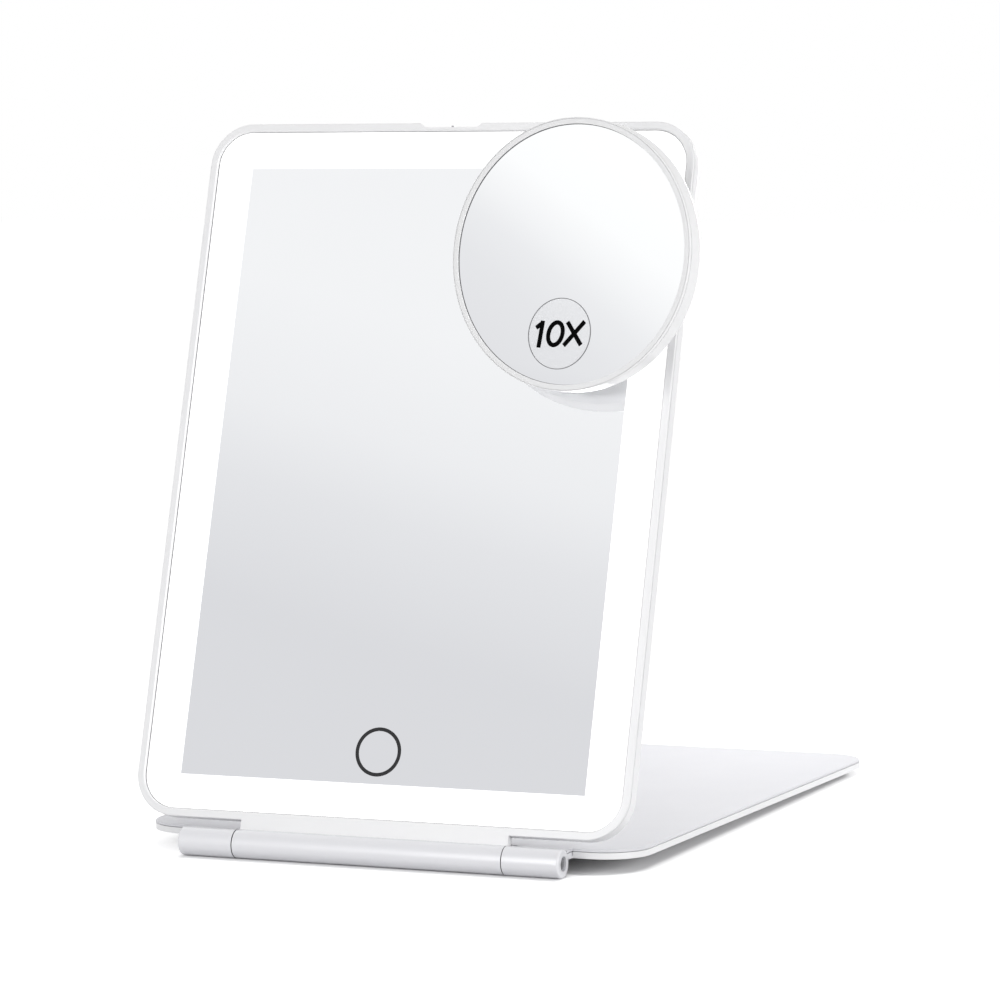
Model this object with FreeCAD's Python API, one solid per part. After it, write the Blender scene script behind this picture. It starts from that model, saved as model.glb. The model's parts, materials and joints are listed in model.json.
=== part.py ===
"""Folding lighted makeup mirror with a removable round magnifier.

A flat lit mirror panel stands on its own cover plate. Both turn on one barrel hinge, so the
plate folds round to cover the glass. The magnifier sits on a suction mount with a ball joint.
Millimetres. X runs along the hinge, Y to the rear, Z up. The origin is on the table, below
the middle of the hinge.
"""
import FreeCAD, Part
import os
from math import atan2, cos, radians, sin, sqrt

Vector = FreeCAD.Vector
X_AXIS = Vector(1, 0, 0)
Y_AXIS = Vector(0, 1, 0)
Z_AXIS = Vector(0, 0, 1)
ORIGIN = Vector(0, 0, 0)

# Mirror panel, outside
panel_width = 170.0
panel_height = 230.0
panel_corner = 14.0
panel_depth = 8.7
panel_lean = 17.17
panel_rise = 7.7
panel_setback = 0.35
rear_round = 4.0
rim_width = 2.6
rim_bevel = 0.4
front_round = 0.35
frame_lip = 0.9
seam_gap = 0.3
shell_wall = 1.2
back_wall = 1.4

# Finger notch in the top edge
notch_width = 22.0
notch_floor = 18.4
notch_depth = 1.4
notch_block = 2.0
notch_block_margin = 2.0

# Clearances
fit_gap = 0.05
glass_gap = 0.25
glass_end_gap = 0.15
slip_gap = 0.2
running_gap = 0.05
cut_margin = 1.0

# Glass and what lies behind it
glass_thickness = 1.2
glass_recess = 0.8
ledge_width = 1.3
ledge_thickness = 0.9
silver_thickness = 0.1
lit_border_side = 12.32
lit_border_bottom = 11.07
lit_border_top = 12.27
diffuser_thickness = 0.85
pad_thickness = 0.8
pad_inset = 0.5
touch_across = -1.5
touch_rise = 10.3
touch_radius = 7.84
touch_line = 1.16
touch_print = 0.05
electrode_radius = 9.0
electrode_thickness = 0.15

# Light tray, strips and lamps
tray_wall = 0.8
tray_channel = 2.05
tray_inset = 0.8
tray_top_inset = 3.7
tray_inner_inset = 19.0
strip_width = 5.0
strip_thickness = 0.8
strip_end_inset = 24.0
lamp_length = 3.5
lamp_width = 2.8
lamp_height = 0.75
lamp_pitch = 9.0
rib_inset = 4.0
rib_width = 1.2
rib_gap_margin = 1.0

# Electronics
battery_width = 70.0
battery_height = 90.0
battery_thickness = 3.4
battery_bottom = 60.0
battery_corner = 3.0
board_width = 60.0
board_height = 22.0
board_bottom = 31.0
board_thickness = 1.0
peg_height = 0.5
peg_radius = 1.5
peg_inset = 4.0
chip_size = 6.0
chip_height = 1.0
coil_size = 5.0
coil_height = 1.8
lead_radius = 0.6
lead_spacing = 3.0
lead_overlap = 3.0
port_width = 8.94
port_height = 3.26
port_length = 7.35
port_wall = 0.3
port_rise = 38.0
port_tongue_height = 0.7
port_tongue_width = 6.7
port_tongue_setback = 0.8
port_opening_gap = 0.25
port_recess = 0.6
port_front_gap = 0.3
port_board_thickness = 0.6
port_board_margin = 1.5
port_board_setback = 4.0
port_rear_wall = 0.8
indicator_radius = 0.45
indicator_setback = 1.55
indicator_proud = 0.8
indicator_length = 1.4

# Screws with cross recesses
screw_head_radius = 2.0
screw_shank_radius = 0.8
screw_head_height = 1.0
screw_sink = 0.1
cross_length = 2.2
cross_width = 0.5
cross_depth = 0.5
boss_radius = 2.2
side_screw_inset = 8.0
side_screw_low = 60.0
side_screw_high = 182.0
top_screw_spacing = 90.0
top_screw_drop = 9.0

# Closing magnets
magnet_radius = 4.0
magnet_thickness = 1.2
magnet_spacing = 80.0
panel_magnet_drop = 16.0
plate_magnet_inset = 9.0
plate_magnet_cover = 0.6

# Barrel hinge
barrel_radius = 4.6
barrel_inset = 19.5
knuckle_length = 19.0
barrel_gap = 0.3
barrel_relief = 0.05
barrel_end_round = 0.7
pin_radius = 2.0
pin_recess = 0.5
pin_mouth_gap = 0.35
pin_mouth_depth = 2.0
sleeve_radius = 3.2
sleeve_length = 26.0
sleeve_inset = 3.0
flange_inset = 0.1
leaf_inset = 6.3
leaf_thickness = 1.0
leaf_height = 16.0
leaf_screw_count = 4
leaf_screw_inset = 10.0
leaf_screw_rise = 11.0

# Cover plate, which is the base when the mirror stands
plate_side_margin = 0.5
plate_front = 8.2
plate_end_margin = 3.3
plate_corner = 15.0
plate_top = 3.51
plate_tilt = 0.787
plate_thickness = 2.94
plate_skin = 0.75
plate_seam = 0.2
plate_chamfer = 0.3
tab_inset = 0.4
tab_barrel_gap = 0.2
tongue_length = 14.0
tongue_floor = 0.8
tongue_screw_inset = 4.6
tongue_screw_setback = 7.0
foot_radius = 6.0
foot_side_inset = 23.5
foot_inset = 18.0

# Magnifier
magnifier_radius = 43.0
magnifier_depth = 8.8
magnifier_wall = 1.5
magnifier_round = 2.6
magnifier_seam = 0.15
magnifier_rim_face = 2.0
magnifier_bevel = 0.12
magnifier_skirt = 1.15
magnifier_lap = 0.8
magnifier_groove_inset = 0.27
magnifier_groove_width = 0.15
magnifier_groove_depth = 0.4
magnifier_rim_depth = 3.2
magnifier_ledge = 2.2
magnifier_mirror_gap = 0.18
magnifier_mirror_recess = 0.2
magnifier_mirror_thickness = 1.1
magnifier_mirror_dish = 2.0
magnifier_pad_inner = 12.0
magnifier_pad_outer = 30.0
magnifier_turn = -8.59
magnifier_tip = 9.25

# Suction mount and ball joint
mount_inset = 25.965
mount_drop = 44.38
ball_standoff = 9.93
ball_setback = 11.5
ball_radius = 4.5
bush_wall = 0.9
bush_reach = 1.7
socket_wall = 2.5
socket_dome = 0.9
socket_ring_depth = 1.8
neck_radius = 2.0
cap_radius = 11.0
cap_low = 2.2
cap_high = 4.8
cap_round = 0.8
stud_foot_radius = 4.5
stud_foot_low = 2.9
stud_foot_high = 3.9
cup_radius = 15.0
cup_edge = 0.6
cup_hollow = 1.2
cup_lip = 1.5
pull_tab_width = 7.0
pull_tab_length = 6.0

# Worked out from the sizes above
panel_half = panel_width / 2
panel_low = panel_rise
panel_high = panel_rise + panel_height
panel_front = panel_setback
panel_back = panel_setback + panel_depth
inner_back = panel_back - back_wall
lip_back = panel_front + frame_lip
shell_front = lip_back + seam_gap
glass_front = panel_front + glass_recess
glass_back = glass_front + glass_thickness
ledge_back = glass_back + ledge_thickness
glass_inset = rim_width + glass_gap
glass_half = panel_half - glass_inset
glass_low = panel_low + rim_width + glass_end_gap
glass_high = panel_high - rim_width - glass_end_gap
silver_half = glass_half - lit_border_side
silver_low = glass_low + lit_border_bottom
silver_high = glass_high - lit_border_top
silver_back = glass_back + silver_thickness
touch_up = silver_low + touch_rise
pad_back = silver_back + pad_thickness
tray_front = ledge_back + fit_gap
tray_floor = tray_front + tray_channel
tray_back = tray_floor + tray_wall
tray_half = panel_half - shell_wall - tray_inset
leaf_step = panel_low + rear_round
tray_low = leaf_step + leaf_thickness + slip_gap
tray_high = panel_high - tray_top_inset
tray_inner_half = panel_half - tray_inner_inset
tray_inner_low = panel_low + tray_inner_inset
tray_inner_high = panel_high - tray_inner_inset
board_back = inner_back - peg_height - fit_gap
board_front = board_back - board_thickness
board_top = board_bottom + board_height
middle_radius = barrel_radius - barrel_relief
barrel_half = panel_half - barrel_inset
knuckle_start = barrel_half - knuckle_length
middle_half = knuckle_start - barrel_gap
flange_half = middle_half - flange_inset
leaf_half = middle_half - leaf_inset
plate_half_width = panel_half + plate_side_margin
plate_rear = panel_high + plate_end_margin
plate_under = plate_top - plate_thickness
plate_low_top = plate_top - plate_skin - plate_seam
mount_across = glass_half - mount_inset
mount_up = glass_high - mount_drop
socket_radius = ball_radius + bush_wall + 2 * running_gap
socket_boss_radius = socket_radius + socket_wall
magnifier_front = -ball_setback
mirror_pocket_radius = magnifier_radius - magnifier_rim_face
mirror_disc_radius = mirror_pocket_radius - magnifier_mirror_gap


# Shapes shared by several pieces

def block(x_low, x_high, y_low, y_high, z_low, z_high):
    """A box between two corners."""
    corner = Vector(x_low, y_low, z_low)
    return Part.makeBox(x_high - x_low, y_high - y_low, z_high - z_low, corner)


def rod(radius, start, end):
    """A round bar from one point to another."""
    along = end - start
    return Part.makeCylinder(radius, along.Length, start, along)


def rounded_face(half, low, high, radius, to_point):
    """A rounded rectangle, centred across: straight sides joined by quarter circles.

    to_point turns a place across and a place along into a point in space.
    """
    bend = radius * (1 - sqrt(0.5))
    corners = [
        ((-half, low + radius), (bend - half, low + bend), (radius - half, low)),
        ((half - radius, low), (half - bend, low + bend), (half, low + radius)),
        ((half, high - radius), (half - bend, high - bend), (half - radius, high)),
        ((radius - half, high), (bend - half, high - bend), (-half, high - radius)),
    ]
    edges = []
    for index, corner in enumerate(corners):
        start, middle, end = [to_point(across, along) for across, along in corner]
        following = to_point(*corners[(index + 1) % len(corners)][0])
        edges.append(Part.Arc(start, middle, end).toShape())
        if end.distanceToPoint(following) > fit_gap:
            edges.append(Part.makeLine(end, following))
    return Part.Face(Part.Wire(edges))


def slab(half, low, high, radius, front, back):
    """An upright rounded plate from one depth to another."""
    face = rounded_face(half, low, high, radius, lambda x, z: Vector(x, front, z))
    return face.extrude(Vector(0, back - front, 0))


def inset_slab(inset, front, back):
    """A plate that follows the panel's outline at an even distance inside it."""
    return slab(panel_half - inset, panel_low + inset, panel_high - inset,
                panel_corner - inset, front, back)


def edges_at(shape, axis_low, axis_high, place):
    """The edges that lie wholly in one plane, named by its bound-box limits."""
    found = []
    for edge in shape.Edges:
        box = edge.BoundBox
        low, high = getattr(box, axis_low), getattr(box, axis_high)
        if abs(low - place) < fit_gap and abs(high - place) < fit_gap:
            found.append(edge)
    return found


def turned(edges):
    """A solid of revolution about Y from a closed profile in the XY plane."""
    return Part.Face(Part.Wire(edges)).revolve(ORIGIN, Y_AXIS, 360)


def profile_lines(points):
    """Straight profile edges through a run of (radius, depth) points."""
    corners = [Vector(radius, depth, 0) for radius, depth in points]
    return [Part.makeLine(start, end) for start, end in zip(corners, corners[1:])]


def profile_arc(start, middle, end):
    """A round profile edge through three (radius, depth) points."""
    return Part.Arc(Vector(*start, 0), Vector(*middle, 0), Vector(*end, 0)).toShape()


def turned_polygon(points):
    """A solid of revolution about Y from (radius, depth) corners."""
    return turned(profile_lines(points + points[:1]))


def screw(length):
    """A countersunk screw along +Y: the flat face of its head at 0, its shank behind."""
    head = Part.makeCone(screw_head_radius, screw_shank_radius, screw_head_height, ORIGIN, Y_AXIS)
    body = head.fuse(rod(screw_shank_radius, ORIGIN, Vector(0, length, 0)))
    for along, across in ((cross_length, cross_width), (cross_width, cross_length)):
        body = body.cut(block(-along / 2, along / 2, -cut_margin, cross_depth, -across / 2, across / 2))
    return body


def screw_hole(length):
    """The clearance for one screw, open past its head."""
    head_radius = screw_head_radius + fit_gap
    shank_radius = screw_shank_radius + fit_gap
    mouth = rod(head_radius, Vector(0, -cut_margin, 0), ORIGIN)
    head = Part.makeCone(head_radius, shank_radius, screw_head_height, ORIGIN, Y_AXIS)
    shank = rod(shank_radius, ORIGIN, Vector(0, length + fit_gap, 0))
    return mouth.fuse([head, shank])


def from_behind(shape, place):
    """Turn a screw to go in from the panel's back, just below the surface."""
    across, up = place
    shape.rotate(ORIGIN, Z_AXIS, 180)
    shape.translate(Vector(across, panel_back - screw_sink, up))
    return shape


def from_below(shape, place):
    """Turn a screw to go up into the plate from its underside."""
    across, along = place
    shape.rotate(ORIGIN, X_AXIS, 90)
    shape.translate(Vector(across, along, plate_under + screw_sink))
    return shape


def on_panel(shape):
    """From the upright panel, with the hinge axis at the origin, to the leaning one."""
    placed = shape.copy()
    placed.rotate(ORIGIN, X_AXIS, -panel_lean)
    placed.translate(Vector(0, 0, barrel_radius))
    return placed


def on_base(shape):
    """From the level plate, with the hinge axis at the origin, to the plate on its feet."""
    placed = shape.copy()
    placed.rotate(ORIGIN, X_AXIS, -plate_tilt)
    placed.translate(Vector(0, 0, barrel_radius))
    return placed


def on_mount(shape):
    """From the ball's centre, with +Y towards the glass, to the panel's face."""
    placed = shape.copy()
    placed.translate(Vector(mount_across, glass_front - ball_standoff, mount_up))
    return on_panel(placed)


def on_magnifier(shape):
    """From the magnifier's own axis to the way it is turned on its ball."""
    placed = shape.copy()
    placed.rotate(ORIGIN, X_AXIS, magnifier_tip)
    placed.rotate(ORIGIN, Z_AXIS, magnifier_turn)
    return on_mount(placed)


os.makedirs("parts", exist_ok=True)


def save(name, shape):
    """Write one sub-part."""
    shape.exportStep("parts/" + name + ".step")


# Cover plate: a thin skin over a lower plate, the base when the mirror stands

def plate_slab(low, high):
    """The plate's rounded outline between two heights."""
    face = rounded_face(plate_half_width, plate_front, plate_rear, plate_corner,
                        lambda x, y: Vector(x, y, low))
    return face.extrude(Vector(0, 0, high - low))


tab_near = knuckle_start + tab_inset
tab_far = barrel_half - tab_inset
tongue_low = plate_under + tongue_floor
tongue_high = plate_low_top - fit_gap
tongue_end = plate_front + tongue_length
tongue_screw_length = tongue_high - plate_under - screw_sink
tongue_screw_places = []
for side in (-1, 1):
    for across in (tab_near + tongue_screw_inset, tab_far - tongue_screw_inset):
        tongue_screw_places.append((side * across, plate_front + tongue_screw_setback))


def base_top_plate():
    """The skin, with a tab at each end that reaches forward over the knuckle's neck."""
    skin_under = plate_top - plate_skin
    skin = plate_slab(skin_under, plate_top)
    skin = skin.makeChamfer(plate_chamfer, edges_at(skin, "ZMin", "ZMax", plate_top))
    tab_front = sqrt((barrel_radius + tab_barrel_gap) ** 2 - skin_under ** 2)
    for side in (-1, 1):
        near, far = sorted((side * tab_near, side * tab_far))
        tab_back = plate_front + plate_chamfer + cut_margin
        skin = skin.fuse(block(near, far, tab_front, tab_back, skin_under, plate_top))
    return skin.removeSplitter()


def base_lower_plate():
    """The lower plate, with pockets for the hinge tongues and the closing magnets."""
    plate = plate_slab(plate_under, plate_low_top)
    for side in (-1, 1):
        near, far = sorted((side * (tab_near - slip_gap), side * (tab_far + slip_gap)))
        pocket = block(near, far, plate_front - cut_margin, tongue_end + slip_gap,
                       tongue_low - fit_gap, plate_low_top + cut_margin)
        plate = plate.cut(pocket)
        plate = plate.cut(plate_magnet(side, magnet_radius + fit_gap, plate_low_top + cut_margin))
    for place in tongue_screw_places:
        plate = plate.cut(from_below(screw_hole(tongue_screw_length), place))
    return plate


def plate_magnet(side, radius, top):
    """A disc in the plate's rear corner, up to a given height."""
    across = side * magnet_spacing / 2
    along = plate_rear - plate_magnet_inset
    floor = plate_under + plate_magnet_cover
    return rod(radius, Vector(across, along, floor), Vector(across, along, top))


def plate_magnets():
    """Two magnets that hold the cover to the panel when it is shut."""
    top = plate_under + plate_magnet_cover + magnet_thickness
    return Part.makeCompound([plate_magnet(side, magnet_radius, top) for side in (-1, 1)])


def knuckle(side):
    """An end knuckle: barrel with a wider mouth for the pin, a neck and a tongue in the plate."""
    start, end = side * knuckle_start, side * barrel_half
    barrel = rod(barrel_radius, Vector(start, 0, 0), Vector(end, 0, 0))
    barrel = barrel.makeFillet(barrel_end_round, edges_at(barrel, "XMin", "XMax", end))
    near, far = sorted((side * tab_near, side * tab_far))
    neck = block(near, far, 0, plate_front - fit_gap, plate_under, tongue_high)
    tongue = block(near, far, 0, tongue_end, tongue_low, tongue_high)
    body = barrel.fuse([neck, tongue]).removeSplitter()
    body = body.cut(rod(pin_radius + fit_gap, Vector(start - side, 0, 0), Vector(end + side, 0, 0)))
    mouth = Vector(end - side * pin_mouth_depth, 0, 0)
    body = body.cut(rod(pin_radius + pin_mouth_gap, mouth, Vector(end + side, 0, 0)))
    for place in tongue_screw_places:
        body = body.cut(from_below(screw_hole(tongue_screw_length), place))
    return body


def hinge_pin():
    """The steel pin through the whole barrel, just inside both ends."""
    end = barrel_half - pin_recess
    return rod(pin_radius, Vector(-end, 0, 0), Vector(end, 0, 0))


def rear_feet():
    """Two rubber feet under the plate's rear, cut level with the table."""
    feet = []
    for side in (-1, 1):
        across, along = side * (plate_half_width - foot_side_inset), plate_rear - foot_inset
        foot = rod(foot_radius, Vector(across, along, plate_under - barrel_radius * 2),
                   Vector(across, along, plate_under))
        below = block(-plate_half_width, plate_half_width, 0, plate_rear, -plate_rear, 0)
        feet.append(on_base(foot).cut(below))
    return Part.makeCompound(feet)


tongue_screws = [from_below(screw(tongue_screw_length), place) for place in tongue_screw_places]
save("base_top_plate", on_base(base_top_plate()))
save("base_lower_plate", on_base(base_lower_plate()))
save("left_knuckle", on_base(knuckle(-1)))
save("right_knuckle", on_base(knuckle(1)))
save("knuckle_screws", on_base(Part.makeCompound(tongue_screws)))
save("hinge_pin", on_base(hinge_pin()))
save("plate_magnets", on_base(plate_magnets()))
save("rear_feet", rear_feet())

# Middle knuckle with its stepped leaf, which carries the panel on the pin

leaf_front = ledge_back + slip_gap / 2
leaf_back = inner_back - fit_gap
leaf_top = leaf_step + leaf_height
leaf_screw_up = leaf_step + leaf_screw_rise
leaf_screw_length = panel_back - screw_sink - leaf_back + leaf_thickness
leaf_screw_places = []
for step in range(leaf_screw_count):
    share = 2 * step / (leaf_screw_count - 1) - 1
    leaf_screw_places.append((share * (leaf_half - leaf_screw_inset), leaf_screw_up))


def middle_knuckle():
    """The long tube, and a leaf that goes up through the shell and steps back to its rear wall."""
    tube = rod(middle_radius, Vector(-middle_half, 0, 0), Vector(middle_half, 0, 0))
    section = [
        (leaf_front, 0), (leaf_front, leaf_step + leaf_thickness),
        (leaf_back - leaf_thickness, leaf_step + leaf_thickness), (leaf_back - leaf_thickness, leaf_top),
        (leaf_back, leaf_top), (leaf_back, leaf_step),
        (leaf_front + leaf_thickness, leaf_step), (leaf_front + leaf_thickness, 0),
    ]
    corners = [Vector(-leaf_half, depth, up) for depth, up in section]
    leaf = Part.Face(Part.makePolygon(corners + corners[:1])).extrude(Vector(2 * leaf_half, 0, 0))
    body = tube.fuse(leaf).removeSplitter()
    reach = middle_half + cut_margin
    body = body.cut(rod(sleeve_radius, Vector(-reach, 0, 0), Vector(reach, 0, 0)))
    for place in leaf_screw_places:
        body = body.cut(from_behind(screw_hole(leaf_screw_length), place))
    return body


def friction_sleeves():
    """Two tight sleeves that grip the pin, so that the panel stays where it is put."""
    sleeves = []
    for side in (-1, 1):
        start = Vector(side * (middle_half - sleeve_inset), 0, 0)
        end = start - Vector(side * sleeve_length, 0, 0)
        sleeve = rod(sleeve_radius - fit_gap, start, end)
        sleeves.append(sleeve.cut(rod(pin_radius + running_gap, start, end)))
    return Part.makeCompound(sleeves)


leaf_screws = [from_behind(screw(leaf_screw_length), place) for place in leaf_screw_places]
save("middle_knuckle", on_panel(middle_knuckle()))
save("friction_sleeves", on_panel(friction_sleeves()))
save("leaf_screws", on_panel(Part.makeCompound(leaf_screws)))

# Panel casing: a front frame with the hinge flange, and a rear shell

tray_screw_length = panel_back - screw_sink - tray_floor - fit_gap
tray_screw_places = []
for side in (-1, 1):
    for rise in (side_screw_low, side_screw_high):
        tray_screw_places.append((side * (panel_half - side_screw_inset), panel_low + rise))
    tray_screw_places.append((side * top_screw_spacing / 2, panel_high - top_screw_drop))
port_depth = ledge_back + port_front_gap + port_height / 2
port_up = panel_low + port_rise
port_mouth = -panel_half + port_recess
port_end = port_mouth + port_length


def notch():
    """The finger notch across the top edge, with sloping ends."""
    top = panel_high + cut_margin
    flare = (notch_width - notch_floor) / 2 * (notch_depth + cut_margin) / notch_depth
    floor = panel_high - notch_depth
    half = notch_floor / 2
    depth = panel_front - cut_margin
    outline = [(-half, floor), (half, floor), (half + flare, top), (-half - flare, top)]
    corners = [Vector(x, depth, z) for x, z in outline]
    face = Part.Face(Part.makePolygon(corners + corners[:1]))
    return face.extrude(Vector(0, panel_depth + 2 * cut_margin, 0))


def indicator(radius):
    """The place of the little charging light in the notch's floor."""
    top = panel_high - notch_depth + indicator_proud
    depth = panel_front + indicator_setback
    return rod(radius, Vector(0, depth, top - indicator_length), Vector(0, depth, top))


def front_frame():
    """The rim round the glass, the skirt and ledge behind it, and the flange to the barrel."""
    lip = inset_slab(0, panel_front, lip_back)
    lip = lip.makeFillet(front_round, edges_at(lip, "YMin", "YMax", panel_front))
    skirt = inset_slab(shell_wall + fit_gap, lip_back, ledge_back)
    flange = block(-flange_half, flange_half, panel_front, ledge_back, 0, panel_low + rim_width)
    flange = flange.cut(rod(barrel_radius, Vector(-barrel_half, 0, 0), Vector(barrel_half, 0, 0)))
    body = lip.fuse([skirt, flange])
    body = body.cut(inset_slab(rim_width, panel_front - cut_margin, glass_back))
    bevel_back = panel_front + rim_bevel
    bevel = inset_slab(rim_width - rim_bevel, panel_front - cut_margin, bevel_back)
    body = body.cut(bevel.makeChamfer(rim_bevel, edges_at(bevel, "YMin", "YMax", bevel_back)))
    body = body.cut(inset_slab(rim_width + ledge_width, panel_front - cut_margin, ledge_back + cut_margin))
    body = body.cut(notch())
    body = body.cut(indicator(indicator_radius + fit_gap))
    return body.removeSplitter()


def port_opening(margin, x_low, x_high):
    """The charging socket's rounded outline, as a bar along X."""
    half = port_width / 2 + margin
    tall = port_height / 2 + margin
    face = rounded_face(tall, port_up - half, port_up + half, tall - fit_gap,
                        lambda y, z: Vector(x_low, port_depth + y, z))
    return face.extrude(Vector(x_high - x_low, 0, 0))


def rear_shell():
    """The rear tray of the casing, with its rib, board pegs and holes."""
    shell = inset_slab(0, shell_front, panel_back)
    shell = shell.makeFillet(rear_round, edges_at(shell, "YMin", "YMax", panel_back))
    hollow = inset_slab(shell_wall, shell_front - cut_margin, inner_back)
    hollow = hollow.makeFillet(rear_round - shell_wall, edges_at(hollow, "YMin", "YMax", inner_back))
    block_half = notch_width / 2 + notch_block_margin
    notch_floor_up = panel_high - notch_depth
    backing = block(-block_half, block_half, ledge_back + slip_gap, panel_back,
                    notch_floor_up - notch_block, panel_high - shell_wall)
    shell = shell.cut(hollow.cut(backing)).cut(notch())
    rib_front = tray_back + fit_gap
    rib = inset_slab(rib_inset, rib_front, inner_back + fit_gap)
    rib = rib.cut(inset_slab(rib_inset + rib_width, rib_front - cut_margin, inner_back + cut_margin))
    leaf_room = leaf_half + rib_gap_margin
    rib = rib.cut(block(-leaf_room, leaf_room, 0, panel_back, 0, leaf_top))
    port_room = port_width / 2 + port_board_margin + rib_gap_margin
    rib = rib.cut(block(-panel_half, 0, 0, panel_back, port_up - port_room, port_up + port_room))
    pegs = []
    for across in (-board_width / 2 + peg_inset, board_width / 2 - peg_inset):
        for up in (board_bottom + peg_inset, board_top - peg_inset):
            pegs.append(rod(peg_radius, Vector(across, inner_back - peg_height, up),
                            Vector(across, inner_back + fit_gap, up)))
    shell = shell.fuse([rib] + pegs).removeSplitter()
    flange_room = flange_half + slip_gap
    shell = shell.cut(block(-flange_room, flange_room, shell_front - cut_margin, ledge_back + fit_gap,
                            panel_low - cut_margin, panel_low + shell_wall + cut_margin))
    leaf_slot = leaf_half + slip_gap
    shell = shell.cut(block(-leaf_slot, leaf_slot, leaf_front - slip_gap / 2,
                            leaf_front + leaf_thickness + slip_gap,
                            panel_low - cut_margin, panel_low + shell_wall + cut_margin))
    shell = shell.cut(port_opening(port_opening_gap, -panel_half - cut_margin, port_end))
    for place in leaf_screw_places:
        shell = shell.cut(from_behind(screw_hole(leaf_screw_length), place))
    for place in tray_screw_places:
        shell = shell.cut(from_behind(screw_hole(tray_screw_length), place))
    return shell


save("front_frame", on_panel(front_frame()))
save("rear_shell", on_panel(rear_shell()))
save("charge_light", on_panel(indicator(indicator_radius)))

# Glass, its silvering and what is fixed to its back

def disc(radius, front, back):
    """A round disc on the touch key's centre line."""
    return rod(radius, Vector(touch_across, front, touch_up), Vector(touch_across, back, touch_up))


def touch_ring():
    """The dark ring printed on the glass, which marks the touch key."""
    front = glass_front - touch_print
    return disc(touch_radius, front, glass_front).cut(disc(touch_radius - touch_line, front, glass_front))


def diffuser_frame():
    """The opal ring behind the clear border of the glass."""
    inset = rim_width + ledge_width + slip_gap
    front, back = glass_back + fit_gap, glass_back + diffuser_thickness
    ring = inset_slab(inset, front, back)
    window = block(-silver_half - slip_gap, silver_half + slip_gap, front - cut_margin, back + cut_margin,
                   silver_low - slip_gap, silver_high + slip_gap)
    return ring.cut(window)


def mirror_pad():
    """The foam sheet on the mirror's back, open round the touch electrode."""
    half = silver_half - pad_inset
    pad = block(-half, half, silver_back, pad_back, silver_low + pad_inset, silver_high - pad_inset)
    return pad.cut(disc(electrode_radius + slip_gap, silver_back - cut_margin, pad_back + cut_margin))


glass = slab(glass_half, glass_low, glass_high, panel_corner - glass_inset,
             glass_front, glass_back - fit_gap)
silver = block(-silver_half, silver_half, glass_back - fit_gap, silver_back, silver_low, silver_high)
save("mirror_glass", on_panel(glass))
save("silver_coating", on_panel(silver))
save("touch_ring", on_panel(touch_ring()))
save("touch_electrode", on_panel(disc(electrode_radius, silver_back, silver_back + electrode_thickness)))
save("diffuser_frame", on_panel(diffuser_frame()))
save("mirror_pad", on_panel(mirror_pad()))

# Light tray, lamp strips and lamps

tray_corner = panel_corner - shell_wall - tray_inset
strip_near = tray_inner_half + tray_wall + slip_gap
strip_back = tray_floor - fit_gap
strip_front = strip_back - strip_thickness
strip_low = panel_low + strip_end_inset
strip_high = panel_high - strip_end_inset
strip_reach = panel_half - strip_end_inset
lower_strip_top = tray_inner_low - tray_wall - slip_gap
upper_strip_bottom = tray_inner_high + tray_wall + slip_gap
strips = {
    "left": (-strip_near - strip_width, -strip_near, strip_low, strip_high),
    "right": (strip_near, strip_near + strip_width, strip_low, strip_high),
    "lower": (-strip_reach, strip_reach, lower_strip_top - strip_width, lower_strip_top),
    "upper": (-strip_reach, strip_reach, upper_strip_bottom, upper_strip_bottom + strip_width),
}


def light_tray():
    """A white channel round the panel that holds the strips and throws the light forward."""
    tray = slab(tray_half, tray_low, tray_high, tray_corner, tray_front, tray_back)
    tray = tray.cut(block(-tray_inner_half, tray_inner_half, 0, panel_back,
                          tray_inner_low, tray_inner_high))
    channel = slab(tray_half - tray_wall, tray_low + tray_wall, tray_high - tray_wall,
                   tray_corner - tray_wall, tray_front - cut_margin, tray_floor)
    wall = tray_inner_half + tray_wall
    channel = channel.cut(block(-wall, wall, 0, panel_back,
                                tray_inner_low - tray_wall, tray_inner_high + tray_wall))
    tray = tray.cut(channel)
    port_room = port_width / 2 + port_board_margin
    tray = tray.cut(block(-panel_half, port_end + slip_gap, 0, panel_back,
                          port_up - port_room, port_up + port_room))
    for across, up in tray_screw_places:
        tray = tray.fuse(rod(boss_radius, Vector(across, tray_back, up),
                             Vector(across, inner_back - fit_gap, up)))
    for place in tray_screw_places:
        tray = tray.cut(from_behind(screw_hole(tray_screw_length), place))
    return tray


def lamps():
    """Rows of small lamps, evenly spaced along the middle of each strip."""
    found = []
    for x_low, x_high, z_low, z_high in strips.values():
        wide, tall = x_high - x_low, z_high - z_low
        count = int((max(wide, tall) - lamp_length) / lamp_pitch) + 1
        for index in range(count):
            shift = (index - (count - 1) / 2) * lamp_pitch
            x = (x_low + x_high) / 2 + (shift if wide > tall else 0)
            z = (z_low + z_high) / 2 + (shift if tall > wide else 0)
            half_x = (lamp_length if wide > tall else lamp_width) / 2
            half_z = (lamp_length if tall > wide else lamp_width) / 2
            found.append(block(x - half_x, x + half_x, strip_front - lamp_height, strip_front,
                               z - half_z, z + half_z))
    return Part.makeCompound(found)


tray_screws = [from_behind(screw(tray_screw_length), place) for place in tray_screw_places]
save("light_tray", on_panel(light_tray()))
for name, (x_low, x_high, z_low, z_high) in strips.items():
    save("lamp_strip_" + name, on_panel(block(x_low, x_high, strip_front, strip_back, z_low, z_high)))
save("lamps", on_panel(lamps()))
save("shell_screws", on_panel(Part.makeCompound(tray_screws)))

# Battery, control board, charging socket and closing magnets

battery_back = inner_back - fit_gap
battery_top = battery_bottom + battery_height


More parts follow.
